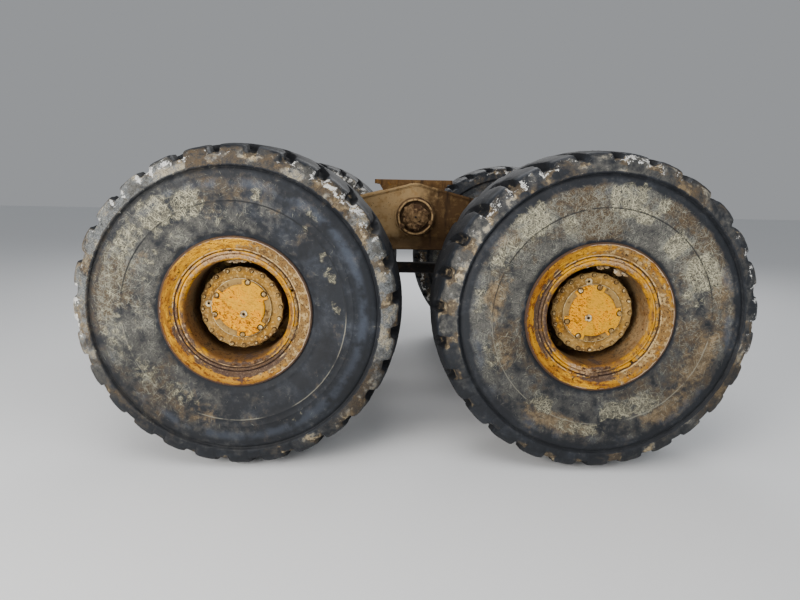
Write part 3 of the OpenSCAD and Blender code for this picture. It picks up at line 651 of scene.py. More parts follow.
class Finish(Masks):
    """A material that starts as one colour and gets coats over it."""

    def __init__(self, name, colour, roughness, metallic=0.0, shine=0.25):
        super().__init__(name)
        self.colour = srgb(*colour)
        self.roughness = roughness
        self.shader = self.tree.nodes["Principled BSDF"]
        for title, value in (("Base Color", self.colour), ("Roughness", roughness), ("Metallic", metallic),
                             ("Specular IOR Level", shine)):
            self.shader.inputs[title].default_value = value

    def coat(self, colour, rough, *masks):
        """Lays a colour and a roughness over what is there, where all the masks meet."""
        mask = self.cross(*masks)
        mix = self.node("ShaderNodeMix")
        mix.data_type = "RGBA"
        self.wire(mask, mix.inputs["Factor"])
        self.wire(self.colour, mix.inputs[6])
        self.wire(srgb(*colour), mix.inputs[7])
        self.colour = mix.outputs[2]
        if rough is not None:
            blend = self.node("ShaderNodeMix")
            self.wire(mask, blend.inputs["Factor"])
            self.wire(self.roughness, blend.inputs[2])
            self.wire(rough, blend.inputs[3])
            self.roughness = blend.outputs[0]

    def relief(self, pattern, height):
        """Small bumps, height in mm."""
        bump = self.node("ShaderNodeBump")
        bump.inputs["Strength"].default_value = 1.0
        bump.inputs["Distance"].default_value = height * MM
        self.wire(pattern, bump.inputs["Height"])
        if self.shader.inputs["Normal"].is_linked:
            self.wire(self.shader.inputs["Normal"].links[0].from_socket, bump.inputs["Normal"])
        self.wire(bump.outputs["Normal"], self.shader.inputs["Normal"])

    def done(self):
        """Wires the coats into the shader and gives the material."""
        if hasattr(self.colour, "is_output"):
            self.wire(self.colour, self.shader.inputs["Base Color"])
        if hasattr(self.roughness, "is_output"):
            self.wire(self.roughness, self.shader.inputs["Roughness"])
        print("finish", self.material.name, "of", len(self.tree.nodes), "nodes")
        return self.material


def dress(pieces, material):
    """Gives every piece in the list one finish all over."""
    for piece in pieces:
        piece.data.materials.clear()
        piece.data.materials.append(material)


print("old machine yellow:", [round(c, 3) for c in srgb(168, 117, 4)[:3]])
# %% [markdown]
# ## Rubber
# The rubber is black with a blue cast where it is clean. Brown mud has dried in the voids and as a
# thin film on the sidewalls, and paler mud is caked on in patches that have been scratched by
# stones. Where the film and the cakes lie was painted on each tyre's own corners as a map, so that
# they follow the tyre; the fine grain inside them comes from noise. The film is heavier on one side
# of each tyre, and that extra is painted light. The wear map holds mud deep in the voids, mud spilt
# beside them, the groove under the shoulder, painted dark as its shadow and dirt, and the shoulder's
# band. The mud map holds film, cakes, pale flecks that are also painted glints, and the crown. The
# look map holds the radius in metres, smears, the sidewall and the upper half, which sets painted
# shade low on the tyre and a painted shadow and highlight at a rib. A blue-grey band under the
# shoulder is a painted sheen, and dark patches on the shoulder are partly painted shade.

# %% Tyre rubber
rubber = Finish("tyre_rubber", (29, 32, 37), 0.6, shine=0.25)
deep, spill, groove, edge_band = rubber.map_of("wear")
film_and_light, cake, fleck_glint, crown = rubber.map_of("mud")
broad = rubber.blotches(2.6, 5.0)
patches = rubber.blotches(8, 5.0, shift=2)
fine = rubber.blotches(34, 7.0, shift=5)
grain = rubber.blotches(120, 4.0, shift=9)
rubber.coat((58, 63, 72), 0.65, (0.62, 0.82, (patches, 0.5), (broad, 0.6), (fine, 0.25)))
rubber.coat((19, 21, 25), 0.5, (0.46, 0.6, broad), 0.75)
rubber.coat((24, 25, 28), 0.75, crown, 0.8)
strokes = rubber.strokes((8, 37, 66, 95, 124, 153), 19.5)
thin = rubber.strokes((22, 81, 140), 32)
# The film lays a paler coat: mud, and painted light on the side that the light falls on.
brown = rubber.mask(1.05, 1.6, film_and_light, fine, (patches, 0.9))
rubber.coat((96, 94, 88), 0.85, brown, 0.75)
radius, smear, wall, upper = rubber.map_of("look")
rubber.coat((82, 68, 50), 0.9, brown, (0.63, 0.76, broad, (fine, 0.3), (smear, 0.12)))
dusted = rubber.mask(2.38, 2.62, (edge_band, 0.5), (film_and_light, 0.8), (fine, 0.7), (patches, 2.2))
rubber.coat((114, 117, 118), 0.85, dusted, 0.85)
rubber.coat((158, 148, 126), 0.9, dusted, edge_band, (1.0, 1.16, (strokes, 0.4), patches, (fine, 0.5)))
rubber.coat((126, 108, 80), 0.9, edge_band, (1.5, 1.66, (broad, 1.6), (fine, 0.7), (film_and_light, 0.2),
    (spill, 0.3)), 0.85)
# Dark patches on the shoulder's band: bare rubber, partly painted shade like that in the voids.
rubber.coat((42, 46, 53), 0.75, edge_band, (0.81, 0.71, patches, (fine, 0.9)), 0.8)
smeared = rubber.mask(1.02, 1.34, (smear, 0.62), patches, (fine, 0.6))
rubber.coat((108, 90, 64), 0.9, smeared, 0.8)
rubber.coat((140, 122, 94), 0.9, smeared, (0.66, 0.8, (strokes, 0.7), (fine, 0.6)), 0.8)
scraped = rubber.mask(0.965, 1.065, strokes, (film_and_light, 0.22), (cake, 0.1), (patches, 0.25), (broad, 0.2),
    (edge_band, -0.1))
rubber.coat((148, 148, 134), 0.9, scraped, 0.62)
rubber.coat((26, 28, 32), 0.7, (0.64, 0.7, thin, (film_and_light, 0.1)), 0.65)
torn = rubber.mask(1.1, 1.45, cake, fine, (grain, 0.5))
rubber.coat((108, 104, 88), 0.9, torn, 0.7)
rubber.coat((184, 178, 150), 0.9, torn, (0.6, 0.67, strokes))
rubber.coat((48, 48, 47), None, torn, (0.55, 0.63, grain))
print("rubber and dust:", len(rubber.tree.nodes), "nodes")

# %% Mud, painted shade and painted highlights on the tyres
mud = rubber.mask(1.42, 1.78, (deep, 0.75), (spill, 0.8), (film_and_light, 0.1), (fine, 0.7), (patches, 1.1))
rubber.coat((84, 74, 60), 0.95, mud, 0.9)
rubber.coat((134, 119, 94), 0.95, mud, (0.51, 0.62, fine))
rubber.coat((176, 160, 128), 0.95, mud, edge_band, (0.84, 0.92, patches, (fine, 0.5)))
rubber.coat((60, 44, 30), 0.95, mud, (0.56, 0.66, grain))
# Painted shadow under the shoulder's overhang, with dirt, darkens the groove.
rubber.coat((20, 22, 26), 0.6, groove, 0.6)
inked = rubber.weigh((fine, 0.004), radius, (1.0, -0.002))
# Painted shadow above the rib at 570 mm, on the upper half of the tyre.
rubber.coat((24, 26, 29), 0.7, wall, upper, rubber.lane(inked, 0.5635, 0.5705, 0.002),
    (0.34, 0.48, patches), 0.85)
# Painted highlight, with dust, below that rib on the lower half.
rubber.coat((150, 146, 130), 0.8, wall, (0.6, 0.3, upper), rubber.lane(inked, 0.5655, 0.5695, 0.002),
    (0.4, 0.55, patches), 0.7)
# Painted sheen: a blue-grey band under the shoulder.
rubber.coat((68, 75, 87), 0.6, wall, rubber.lane(inked, 0.635, 0.676, 0.016),
    (0.34, 0.52, patches, (film_and_light, -0.3)), 0.55)
rubber.coat((30, 32, 36), 0.7, wall, rubber.lane(inked, 0.684, 0.698, 0.008), 0.4)
# Painted shade: the lower half of each tyre is darker.
rubber.coat((24, 25, 27), 0.75, (0.22, 0.0, upper), 0.35)
# Painted glints, with pale flecks of snow and mud, along the shoulder's edge.
pale = rubber.mask(2.23, 2.35, fleck_glint, fine, (grain, 2.1))
rubber.coat((205, 204, 200), 0.9, pale)
rubber.relief(strokes, 1.0)
rubber.relief(fine, 2.4)
rubber.relief(torn, 0.9)
rubber_finish = rubber.done()
dress(tyres, rubber_finish)

# %% [markdown]
# ## Tools for turned and bolted pieces
# Rims, hubs and rings are turned parts, so each is drawn as half of its section and spun round the
# axle. A cylinder primitive with insets would do for one step, but a rim has twenty. Bolts and nuts
# repeat, so one is modelled and copied. Sharp edges get a small bevel, because nothing on this
# machine is still sharp and the bevel is what catches the light.

# %% Drawing and spinning
STEPS = 160


def only(piece):
    """Selects one piece alone and makes it active."""
    bpy.ops.object.select_all(action="DESELECT")
    piece.select_set(True)
    bpy.context.view_layer.objects.active = piece


def draw_outline(name, corners):
    """Draws an outline by extruding one vertex from corner to corner: (radius, outwards) in mm."""
    bpy.ops.object.select_all(action="DESELECT")
    bpy.ops.mesh.primitive_plane_add(size=0.01, location=(0, 0, 0))
    piece = bpy.context.object
    piece.name = name
    places = [Vector((r, -w, 0)) * MM for r, w in corners]
    bpy.ops.object.mode_set(mode="EDIT")
    bpy.ops.mesh.select_all(action="SELECT")
    bpy.ops.mesh.merge(type="CENTER")
    bpy.ops.transform.translate(value=places[0])
    for here, there in zip(places, places[1:]):
        bpy.ops.mesh.extrude_region_move(TRANSFORM_OT_translate={"value": there - here})
    bpy.ops.object.mode_set(mode="OBJECT")
    return piece


def spin_round(piece, steps=STEPS, sweep=360.0, closed=True):
    """Spins a drawn outline round the axle. A closed outline gets its last edge first."""
    only(piece)
    bpy.ops.object.mode_set(mode="EDIT")
    if closed:
        bpy.ops.mesh.select_all(action="DESELECT")
        bpy.ops.object.mode_set(mode="OBJECT")
        piece.data.vertices[0].select = True
        piece.data.vertices[len(piece.data.vertices) - 1].select = True
        bpy.ops.object.mode_set(mode="EDIT")
        bpy.ops.mesh.edge_face_add()
    bpy.ops.mesh.select_all(action="SELECT")
    bpy.ops.mesh.spin(steps=steps, angle=math.radians(sweep), center=(0, 0, 0), axis=(0, 1, 0))
    bpy.ops.mesh.select_all(action="SELECT")
    bpy.ops.mesh.remove_doubles(threshold=0.00002)
    bpy.ops.mesh.fill_holes(sides=0)
    bpy.ops.mesh.normals_make_consistent(inside=False)
    bpy.ops.object.mode_set(mode="OBJECT")
    return piece


def soften(piece, width, segments=2, sharper_than=28):
    """Bevels the edges of a piece and shades it, width in mm."""
    only(piece)
    if width:
        bevel = piece.modifiers.new("worn_edges", "BEVEL")
        bevel.width = width * MM
        bevel.segments = segments
        bevel.limit_method = "ANGLE"
        bevel.angle_limit = math.radians(sharper_than)
        bpy.ops.object.modifier_apply(modifier=bevel.name)
    shade(38)
    return piece


def turned(name, corners, steps=STEPS, bevel=1.5, closed=True):
    """Draws an outline, spins it round the axle and softens it."""
    return soften(spin_round(draw_outline(name, corners), steps, 360, closed), bevel)


print("steps round the axle:", STEPS)

# %% Bars, bolts and copies
def round_bar(name, radius, height, sides, crown=0.0):
    """A short bar that stands on the origin and points outwards, with its outer rim drawn in."""
    bpy.ops.object.select_all(action="DESELECT")
    bpy.ops.mesh.primitive_cylinder_add(vertices=sides, radius=radius * MM, depth=height * MM,
                                        rotation=(math.pi / 2, 0, 0), location=(0, -height * MM / 2, 0))
    bar = bpy.context.object
    bar.name = name
    bpy.ops.object.transform_apply(location=True, rotation=True, scale=True)
    if crown:
        bpy.ops.object.mode_set(mode="EDIT")
        bpy.ops.mesh.select_all(action="DESELECT")
        bpy.ops.object.mode_set(mode="OBJECT")
        for face in bar.data.polygons:
            face.select = face.normal.y < -0.9
        bpy.ops.object.mode_set(mode="EDIT")
        bpy.ops.mesh.inset(thickness=crown * MM)
        bpy.ops.transform.translate(value=(0, -0.45 * crown * MM, 0))
        bpy.ops.object.mode_set(mode="OBJECT")
    return bar


def join(pieces, name):
    """Makes one piece of several."""
    bpy.ops.object.select_all(action="DESELECT")
    for piece in pieces:
        piece.select_set(True)
    bpy.context.view_layer.objects.active = pieces[0]
    if len(pieces) > 1:
        bpy.ops.object.join()
    whole = bpy.context.view_layer.objects.active
    whole.name = name
    return whole


def copies_at(template, name, matrices):
    """Copies a small piece to many places, joins the copies and removes the first one."""
    copies = []
    for matrix in matrices:
        mesh = template.data.copy()
        mesh.transform(matrix)
        copy = bpy.data.objects.new(name, mesh)
        bpy.context.collection.objects.link(copy)
        copies.append(copy)
    bpy.data.objects.remove(template)
    return join(copies, name)


def on_wheel(radius, outwards, angle):
    """Place on a wheel: radius and distance outwards in mm, angle in degrees."""
    turn = math.radians(angle)
    place = Vector((radius * math.cos(turn), -outwards, radius * math.sin(turn))) * MM
    return Matrix.Translation(place) @ Matrix.Rotation(-turn, 4, "Y")


def hex_bolt(name, radius, height, washer=3.0):
    """A hexagon head on its washer."""
    head = round_bar(name, radius, washer + height, 6, 0.18 * radius)
    return join([round_bar(name, radius * 1.35, washer, 16, 1.0), head], name)


print("twelve o'clock on a rim, in m:", tuple(round(c, 3) for c in on_wheel(300, 0, 90).to_translation()))

# %% Wear and dents
def paint_wear_and_light(piece, rule):
    """Paints the wear map on a piece's corners: worn edges with painted highlights, dust with
    painted shade, and two values more. The rule gets radius and distance outwards in mm.
    """
    x, y, z = corners_of(piece).T / MM
    chart = np.zeros((len(x), 4))
    for i, values in enumerate(rule(np.hypot(x, z), -y)):
        chart[:, i] = values
    set_map(piece, "wear", chart)


def dents(piece, size, height, seed):
    """Moves the corners of a piece in and out a little, size and height in mm."""
    places = corners_of(piece)
    shift = np.stack([waves(places, size * MM, seed + k) for k in range(3)], axis=-1)
    move_corners(piece, places + shift * height * MM)


# The first value also holds painted highlights, and the second painted shade.
print("wear map: rubbed metal, settled dust, and two values that each piece uses in its own way")

# %% Dirt by side of the wheel
# Where dust, dark stains and pale crust sit on rims and hubs: angle from the truck's rear over the
# top and half angle in degrees, strength. The photograph doesn't show the far wheels, so theirs is
# made up.
DUST = {"left_front": [(10, 60, 1.0), (60, 25, 0.5), (320, 25, 0.6)],
        "left_rear": [(345, 75, 0.9), (75, 25, 0.5)],
        "right_front": [(120, 80, 0.9)],
        "right_rear": [(300, 70, 0.9), (80, 30, 0.6)]}
STAIN = {"left_front": [(280, 38, 1.0), (205, 45, 0.5)],
         "left_rear": [(180, 42, 0.9), (276, 16, 1.0)],
         "right_front": [(250, 60, 0.9), (40, 30, 0.7)],
         "right_rear": [(200, 60, 1.0), (20, 30, 0.7)]}
PALE = {"left_front": [(100, 45, 1.0), (200, 30, 0.3)],
        "left_rear": [(75, 50, 0.7), (255, 20, 0.8)],
        "right_front": [(80, 50, 0.8)],
        "right_rear": [(110, 50, 0.8)]}


def paint_sides(pieces):
    """Paints dust, stains, the radius and pale crust on finished copies, by place on the truck."""
    for piece, place in zip(pieces, PLACES):
        x, y, z = (corners_of(piece) - np.array(CENTRE[place])).T
        turn, radius = np.arctan2(z, x), np.hypot(x, z)
        dust, stain, pale = (spots(np.degrees(turn), table[place], np.add) for table in (DUST, STAIN,
            PALE))
        set_map(piece, "sides", np.stack([dust, stain, radius, pale], axis=-1))
        # A pattern read at these places is drawn out round the axle.
        swept = np.stack([0.35 * np.cos(turn), 4.5 * radius + y, 0.35 * np.sin(turn)], axis=-1)
        layer = piece.data.attributes.new(name="swept", type="FLOAT_VECTOR", domain="POINT")
        layer.data.foreach_set("vector", swept.ravel())


print("dust, stains and crust for", len(DUST), "wheels")

# %% [markdown]
# ## Rim, flange ring and lock ring
# An earthmover rim is built up: a base with a fixed inner flange, a loose outer flange that carries
# the bead, and a split spring ring that locks it. All three are turned steel. The loose flange is
# beaten by stones, so its section is drawn with every roll of the lip, and its corners are pushed
# about by a millimetre before it is painted.

# %% Flange ring
# The bead seat that the flange ring and the rim share: radius and distance outwards in mm.
SEAT = [(389.5, 299), (375.5, 291), (357.5, 279.5), (329.5, 279.5), (317.5, 267.5), (315.5, 229.5)]
flange_ring = turned("flange_ring", [
    (393.5, 300), (394, 305), (390.5, 309.4), (384, 310.6), (375, 309.6), (362, 306), (352, 301.5),
    (344, 297.5), (336, 292.6), (331, 288.6), (327.5, 285.6), (323, 284.4), (319, 283.4),
    (318.5, 271.5), (305.5, 251.5), (305.5, 229.5)] + SEAT[::-1], bevel=1.2)
dents(flange_ring, 70, 0.5, 3)
# Flange ring: a painted highlight at 345 mm; painted shade, with dust, by the lock ring and mid band.
paint_wear_and_light(flange_ring, lambda r, w: (
    0.4 * bump_at(r, 345, 2.0), bump_at(r, 321, 10) + 0.5 * bump_at(r, 344, 8)))
flange_rings = copy_to_wheels(flange_ring, "flange_ring")

# %% Rim base
rim_inside = [(r, -w) for r, w in SEAT]
rim_base = turned("rim", [(393.5, -307), (393.5, -300)] + rim_inside + [
    (282, -189.5), (282, 209.5), (293.5, 217.5), (293.5, 253.5), (301.5, 259.5), (301.5, 273.5),
    (298, 280.5), (292.5, 282.4), (285, 282.6), (279, 281), (274, 277.4), (270.6, 272), (268.6, 264),
    (268, 252), (268, 236), (267, 190), (268, 60), (268, -34), (225, -34), (225, -60), (268, -60),
    (268, -189.5), (299.5, -229.5), (301.5, -283.5), (329.5, -293.5), (379.5, -310.5)], bevel=1.2)
dents(rim_base, 90, 0.5, 5)
# Rim base: a painted highlight on the gutter's lip; dust inside the barrel.
paint_wear_and_light(rim_base, lambda r, w: (
    0.5 * bump_at(r, 292, 5) * (w > 276), smooth((270 - r) / 3) * (w < 245),
    smooth((284 - r) / 8) * smooth((268 - w) / 14)))
rim_bases = copy_to_wheels(rim_base, "rim")

# %% Lock ring and its key
LOCK_R = 309
SPLIT, SPLIT_AT, KEY_AT = 2.8, 209, 167
lock_ring = soften(spin_round(draw_outline("lock_ring", [
    (301.8, 259.5), (307.5, 256.7), (316.4, 269.7), (318.1, 273.5), (317, 282), (313.5, 286),
    (308, 287.4), (303.8, 286), (301.8, 279.5)]), 150, 360 - SPLIT), 0.8)
lock_ring.data.transform(Matrix.Rotation(-math.radians(SPLIT_AT + SPLIT / 2), 4, "Y"))
notches = [on_wheel(LOCK_R, 285.5, SPLIT_AT + a) for a in (-5, 5)]
notches = copies_at(round_bar("pry_notch", 9, 3.5, 12, 1.0), "pry_notch", notches)
lock_ring = join([lock_ring, notches], "lock_ring")
# Lock ring: a painted highlight along its outer edge; dust all over.
paint_wear_and_light(lock_ring, lambda r, w: (0.3 * bump_at(w, 287.4, 2), 0.9))
lock_rings = copy_to_wheels(lock_ring, "lock_ring")

# %% Key of the rim
bpy.ops.object.select_all(action="DESELECT")
bpy.ops.mesh.primitive_cube_add(size=1, location=(LOCK_R * MM, -286 * MM, 0))
rim_key = bpy.context.object
rim_key.scale = (0.030, 0.016, 0.066)
bpy.ops.object.transform_apply(location=True, rotation=False, scale=True)
bpy.ops.object.mode_set(mode="EDIT")
bpy.ops.mesh.select_all(action="SELECT")
bpy.ops.mesh.subdivide(number_cuts=3)
bpy.ops.object.mode_set(mode="OBJECT")
for corner in rim_key.data.vertices:
    turn = corner.co.z / (LOCK_R * MM)
    reach = corner.co.x
    corner.co.x, corner.co.z = reach * math.cos(turn), reach * math.sin(turn)
dents(rim_key, 20, 0.9, 8)
soften(rim_key, 2.0)
rim_key.data.transform(Matrix.Rotation(-math.radians(KEY_AT), 4, "Y"))
paint_wear_and_light(rim_key, lambda r, w: (0.1, 1))
rim_keys = copy_to_wheels(rim_key, "rim_key", replaced=False)

# %% [markdown]
# ## Hub
# The hub is a cast drum that holds the planetary gears. Its front ring has a lobe round each of its
# twenty bolts. The drum is turned like the rim, and the lobes are short cylinders set into the
# ring's edge, which is how the casting grows them. Cutting scallops with a boolean would give the
# same outline, but with poor edges to bevel.

# %% Drum
DRUM_BOLTS = 20
STEP = 360 / DRUM_BOLTS
drum = turned("hub", [
    (0, -370), (150, -370), (150, -341), (192, -341), (192, -321), (156, -307), (164, -125),
    (190, -85), (262, -85), (262, -60), (205, -60), (203, 60), (205, 126), (216.5, 129.5),
    (218.5, 133), (218.5, 164), (216, 167.5), (208, 169), (190, 168.8), (172, 168.6), (166, 166),
    (161.5, 164.5), (160, 168.5), (0, 168.5)], steps=144, bevel=1.5, closed=False)
lobe = soften(round_bar("lobe", 46, 39.4, 64), 2.4)
lobes = copies_at(lobe, "lobes", [on_wheel(175, 129.2, (i + 0.5) * STEP) for i in range(DRUM_BOLTS)])
hub = join([drum, lobes], "hub")
dents(hub, 60, 0.35, 12)
# Drum: painted highlights on the lobes' edges; painted shade with dust at the cover's joint and behind the
# face.
paint_wear_and_light(hub, lambda r, w: (
    0.28 * bump_at(w, 168, 3) * (r > 212), np.maximum(bump_at(r, 164, 4), (w < 166) * 0.9),
    0.25 * bump_at(r, 185, 14)))
hubs = copy_to_wheels(hub, "hub")

# %% Drum bolts and wheel nuts
between_lobes = [on_wheel(206, 168.4, (i + 0.5) * STEP) for i in range(DRUM_BOLTS)]
drum_bolt = copies_at(hex_bolt("drum_bolt", 9.6, 7.0, 1.5), "drum_bolt", between_lobes)
# Painted highlight on the bolt heads, painted shade round their feet.
paint_wear_and_light(drum_bolt, lambda r, w: (0.3 * (w > 175), 1.4 * (w < 171.5)))
drum_bolts = copy_to_wheels(drum_bolt, "drum_bolts", replaced=False)
on_studs = [on_wheel(246, -35, i * STEP) for i in range(DRUM_BOLTS)]
wheel_nut = copies_at(hex_bolt("wheel_nut", 15, 20, 4), "wheel_nut", on_studs)
wheel_nuts = copy_to_wheels(wheel_nut, "wheel_nuts", replaced=False)

# %% [markdown]
# ## Hub cover
# The cover closes the planetary gears. Its raised middle spreads into three pairs of bolt lobes. The
# middle is turned, each lobe is a third of a turned ring, and the bolt pockets are real holes: six
# cylinders are taken away with a boolean, which is the one tool that sinks a round pocket into a
# finished face.

# %% Cover
COVER_BOLT_R = 144
COVER_BOLT_ANGLES = [120 * k + s * 21 for k in range(3) for s in (-1, 1)]
cover_base = turned("cover", [
    (0, 166), (157, 166), (161, 169.5), (161.5, 177), (159, 180), (156, 180), (152, 180), (132, 180),
    (125, 180), (0, 180)], steps=144, bevel=1.4, closed=False)
plateau = turned("plateau", [
    (0, 176), (127, 176), (126, 184), (122.5, 189.4), (117, 191), (112, 191), (0, 191)],
    steps=120, bevel=1.2, closed=False)
pad_section = [(96, 176), (155, 176), (154, 188), (151, 190), (148, 190), (130, 190), (96, 190)]
pads = []
for k in range(3):
    pad = spin_round(draw_outline("pad", pad_section), 24, 66)
    pad.data.transform(Matrix.Rotation(-math.radians(120 * k - 33), 4, "Y"))
    pads.append(pad)
pads = join(pads, "pads")
in_pads = [on_wheel(COVER_BOLT_R, 181, angle) for angle in COVER_BOLT_ANGLES]
cutters = copies_at(round_bar("pocket", 18, 30, 32), "pockets", in_pads)
only(pads)
sink = pads.modifiers.new("sink_pockets", "BOOLEAN")
sink.operation = "DIFFERENCE"
sink.object = cutters
bpy.ops.object.modifier_apply(modifier=sink.name)
bpy.data.objects.remove(cutters)
soften(pads, 1.4)
cover = join([cover_base, plateau, pads], "hub_cover")
# Cover: painted highlights on the pads' tops, the lip and the plateau's edge; painted shade with dust at
# the plateau's foot and round the cover's side.
paint_wear_and_light(cover, lambda r, w: (
    0.3 * (w > 187.5) * (r > 149) + 0.5 * bump_at(r, 158.5, 2.0) * (w > 174)
    + 0.12 * bump_at(r, 124, 3) * (w > 184),
    0.9 * bump_at(r, 128.5, 3) * (w < 184) + (r > 160) * (w < 174),
    1.2 * (w > 184), (w < 184) * (r < 160)))
covers = copy_to_wheels(cover, "hub_cover")
print("pockets in each cover:", len(in_pads))

# %% Cover bolts
in_pockets = [on_wheel(COVER_BOLT_R, 180, angle) for angle in COVER_BOLT_ANGLES]
cover_bolt = copies_at(hex_bolt("cover_bolt", 12.0, 7.5, 1.5), "cover_bolt", in_pockets)
# Painted highlight on the bolt heads, painted shade in the pockets round their feet.
paint_wear_and_light(cover_bolt, lambda r, w: (0.3 * (w > 187), 1.4 * (w < 183)))
cover_bolts = copy_to_wheels(cover_bolt, "cover_bolts", replaced=False)

# %% Plugs
def ring_plug(name, radius, height):
    """A screwed plug: a raised ring with a rounded lip, a dish, and a square block in its middle that
    stands for the socket's shade.
    """
    ring = turned(name, [
        (0, -2), (radius, -2), (radius, height - 2), (radius - 2, height), (radius - 4, height),
        (radius - 5.5, height - 1.6), (radius - 10, height - 2.4), (7, height - 2), (0, height - 2)],
        steps=32, bevel=0.6, closed=False)
    socket = round_bar("socket", 6.6, height - 1.2, 4)
    return ring, socket


plug_rings, plug_socket_shades = [], []
for radius, outwards, angle in ((174, 168.6, 0), (34, 191, 124)):
    ring, socket = ring_plug("plug", 19.5, 9)
    # Painted highlight on the plug's ring, painted shade in its dish.
    paint_wear_and_light(ring, lambda r, w: (0.42 * (r > 8) * (w > 5), 0.5 * (r < 8)))
    seat = on_wheel(radius, outwards, angle)
    ring.data.transform(seat)
    socket.data.transform(seat @ Matrix.Rotation(math.radians(20), 4, "Y"))
    plug_rings.append(ring)
    plug_socket_shades.append(socket)
plugs = copy_to_wheels(join(plug_rings, "plugs"), "plug_rings", replaced=False)
sockets = join(plug_socket_shades, "sockets")
sockets = copy_to_wheels(sockets, "plug_socket_shades", replaced=False)

# %% [markdown]
# ## Paint on rims and hubs
# Orange-yellow machine paint that has gone brown in places, lost chips to the stones and kept dust
# wherever the hand doesn't reach. The lip of the flange is worn down, and thin painted highlights run
# along its crest and inner edge, with painted shade lines on its outer roll and in the gap by the lock
# ring. The wear map on each piece says where metal is worn bare or gets a painted highlight and where
# dust settles or painted shade lies; its third value is the inside of the barrel on a rim and the wiped
# face on a cover, and its fourth the low ground between the cover's pads. The sides map holds dust,
# stains, the radius in metres and pale crust, by place on the truck. Patterns read at the swept places
# run round the axle, as wiped dust does.

# %% Rim paint
rim_pieces = (flange_rings, rim_bases, lock_rings, rim_keys)
for pieces in rim_pieces:
    paint_sides(pieces)
rim_paint = Finish("rim_paint", (168, 117, 4), 0.42, shine=0.2)
rubbed_highlight, dust_and_shade, barrel, _ = rim_paint.map_of("wear")
dust_side, stain_side, radius, pale_side = rim_paint.map_of("sides")
broad = rim_paint.blotches(4.5, 4.0, shift=1)
other = rim_paint.blotches(7.0, 6.0, shift=12)
fine = rim_paint.blotches(32, 8.0, shift=4)
crust = rim_paint.blotches(75, 6.0, shift=9)
specks = rim_paint.blotches(150, 4.0, shift=7)
swept = rim_paint.vector_of("swept")
streaks = rim_paint.blotches(15, 6.0, shift=5, place=swept)
rings = rim_paint.blotches(42, 4.0, shift=9, place=swept)
radius = rim_paint.weigh((fine, 0.01), radius, (1.0, -0.005))
front = rim_paint.mask(0.27, 0.276, radius)
rim_paint.coat((142, 90, 8), 0.5, (0.5, 0.64, (broad, 0.5), (streaks, 0.6)))
# Painted shade: the flange's outer roll is darker, as a concave band is at its edges.
rim_paint.coat((112, 72, 14), 0.6, rim_paint.lane(radius, 0.373, 0.4, 0.007), 0.85)
rim_paint.coat((230, 168, 14), 0.5, (0.52, 0.72, (streaks, -0.6), (rings, 0.7), (pale_side, 0.16),
    (1.0, 0.42)), 0.85)
rim_paint.coat((110, 68, 16), 0.6, (0.58, 0.66, rings), 0.7)
rim_paint.coat((208, 150, 20), 0.5, rim_paint.lane(radius, 0.29, 0.312), 0.7)
rusty = rim_paint.mask(0.98, 1.1, (fine, 0.9), (streaks, 0.9), (stain_side, 0.1))
rim_paint.coat((104, 58, 8), 0.8, rusty)
print("paint of the rims:", len(rim_paint.tree.nodes), "nodes")

# %% Dust and mud on the rims
band = rim_paint.mask(0.32, 0.326, radius)
# The wear map's second value adds painted shade to the dust in the flange's crevices.
settled = rim_paint.mask(0.92, 1.03, (fine, 0.6), (rings, 0.4), (other, 0.3), (dust_side, 0.34),
    (dust_and_shade, 0.2), (band, 0.22), (front, -0.12))
rim_paint.coat((122, 94, 56), 0.9, settled, 0.95)
rim_paint.coat((172, 144, 96), 0.95, settled, (0.5, 0.62, fine))
rim_paint.coat((68, 50, 36), 0.95, settled, (0.46, 0.38, crust), 0.8)
grime = rim_paint.cross(barrel, (0.26, 0.48, (fine, 0.6), (other, 0.6)))
rim_paint.coat((98, 80, 56), 0.9, grime, 0.94)
rim_paint.coat((64, 49, 35), 0.9, barrel, (0.52, 0.64, (broad, 0.6), (rings, 0.5)))
rim_paint.coat((160, 130, 88), 0.9, barrel, (0.95, 1.25, (dust_side, 0.8), (fine, 0.4), (rings, 0.6)),
    0.8)
inner = rim_paint.lane(radius, 0.266, 0.291, 0.003)
rim_paint.coat((116, 82, 42), 0.7, inner, (0.84, 1.0, (fine, 0.7), (streaks, 0.7), (stain_side, 0.16),
    (broad, 0.4)), 0.85)
gutter = rim_paint.lane(radius, 0.276, 0.345, 0.006)
dark = rim_paint.mask(0.97, 1.09, (fine, 0.6), (streaks, 0.6), (stain_side, 0.36), (gutter, 0.26),
    (dust_and_shade, 0.06))
rim_paint.coat((70, 56, 49), 0.9, dark, 0.92)
rim_paint.coat((122, 101, 82), 0.9, dark, (0.53, 0.61, crust))
crest = rim_paint.lane(radius, 0.278, 0.314, 0.004)
lumpy = rim_paint.mask(0.98, 1.12, (pale_side, 0.36), (crest, 0.3), (fine, 0.8), (crust, 0.3))
rim_paint.coat((156, 126, 92), 0.9, lumpy, 0.9)
rim_paint.coat((204, 176, 142), 0.9, lumpy, (0.52, 0.62, crust))
rim_paint.coat((88, 62, 50), 0.9, lumpy, (0.46, 0.38, crust))
print("with dust and mud:", len(rim_paint.tree.nodes), "nodes")

# %% Chips, painted shade lines and painted highlights
# Painted shade in the gap between the flange ring and the lock ring.
rim_paint.coat((52, 37, 32), 0.9, rim_paint.lane(radius, 0.3165, 0.3225), (0.3, 0.45, fine), 0.9)
# Painted highlight along the flange's inner edge.
rim_paint.coat((204, 174, 124), 0.7, rim_paint.lane(radius, 0.3245, 0.329),
    (0.36, 0.5, fine, (stain_side, -0.25)), 0.85)
rim_paint.coat((50, 29, 14), 0.85, (0.585, 0.635, crust), 0.9)
rim_paint.coat((40, 25, 16), 0.85, (0.64, 0.68, specks))
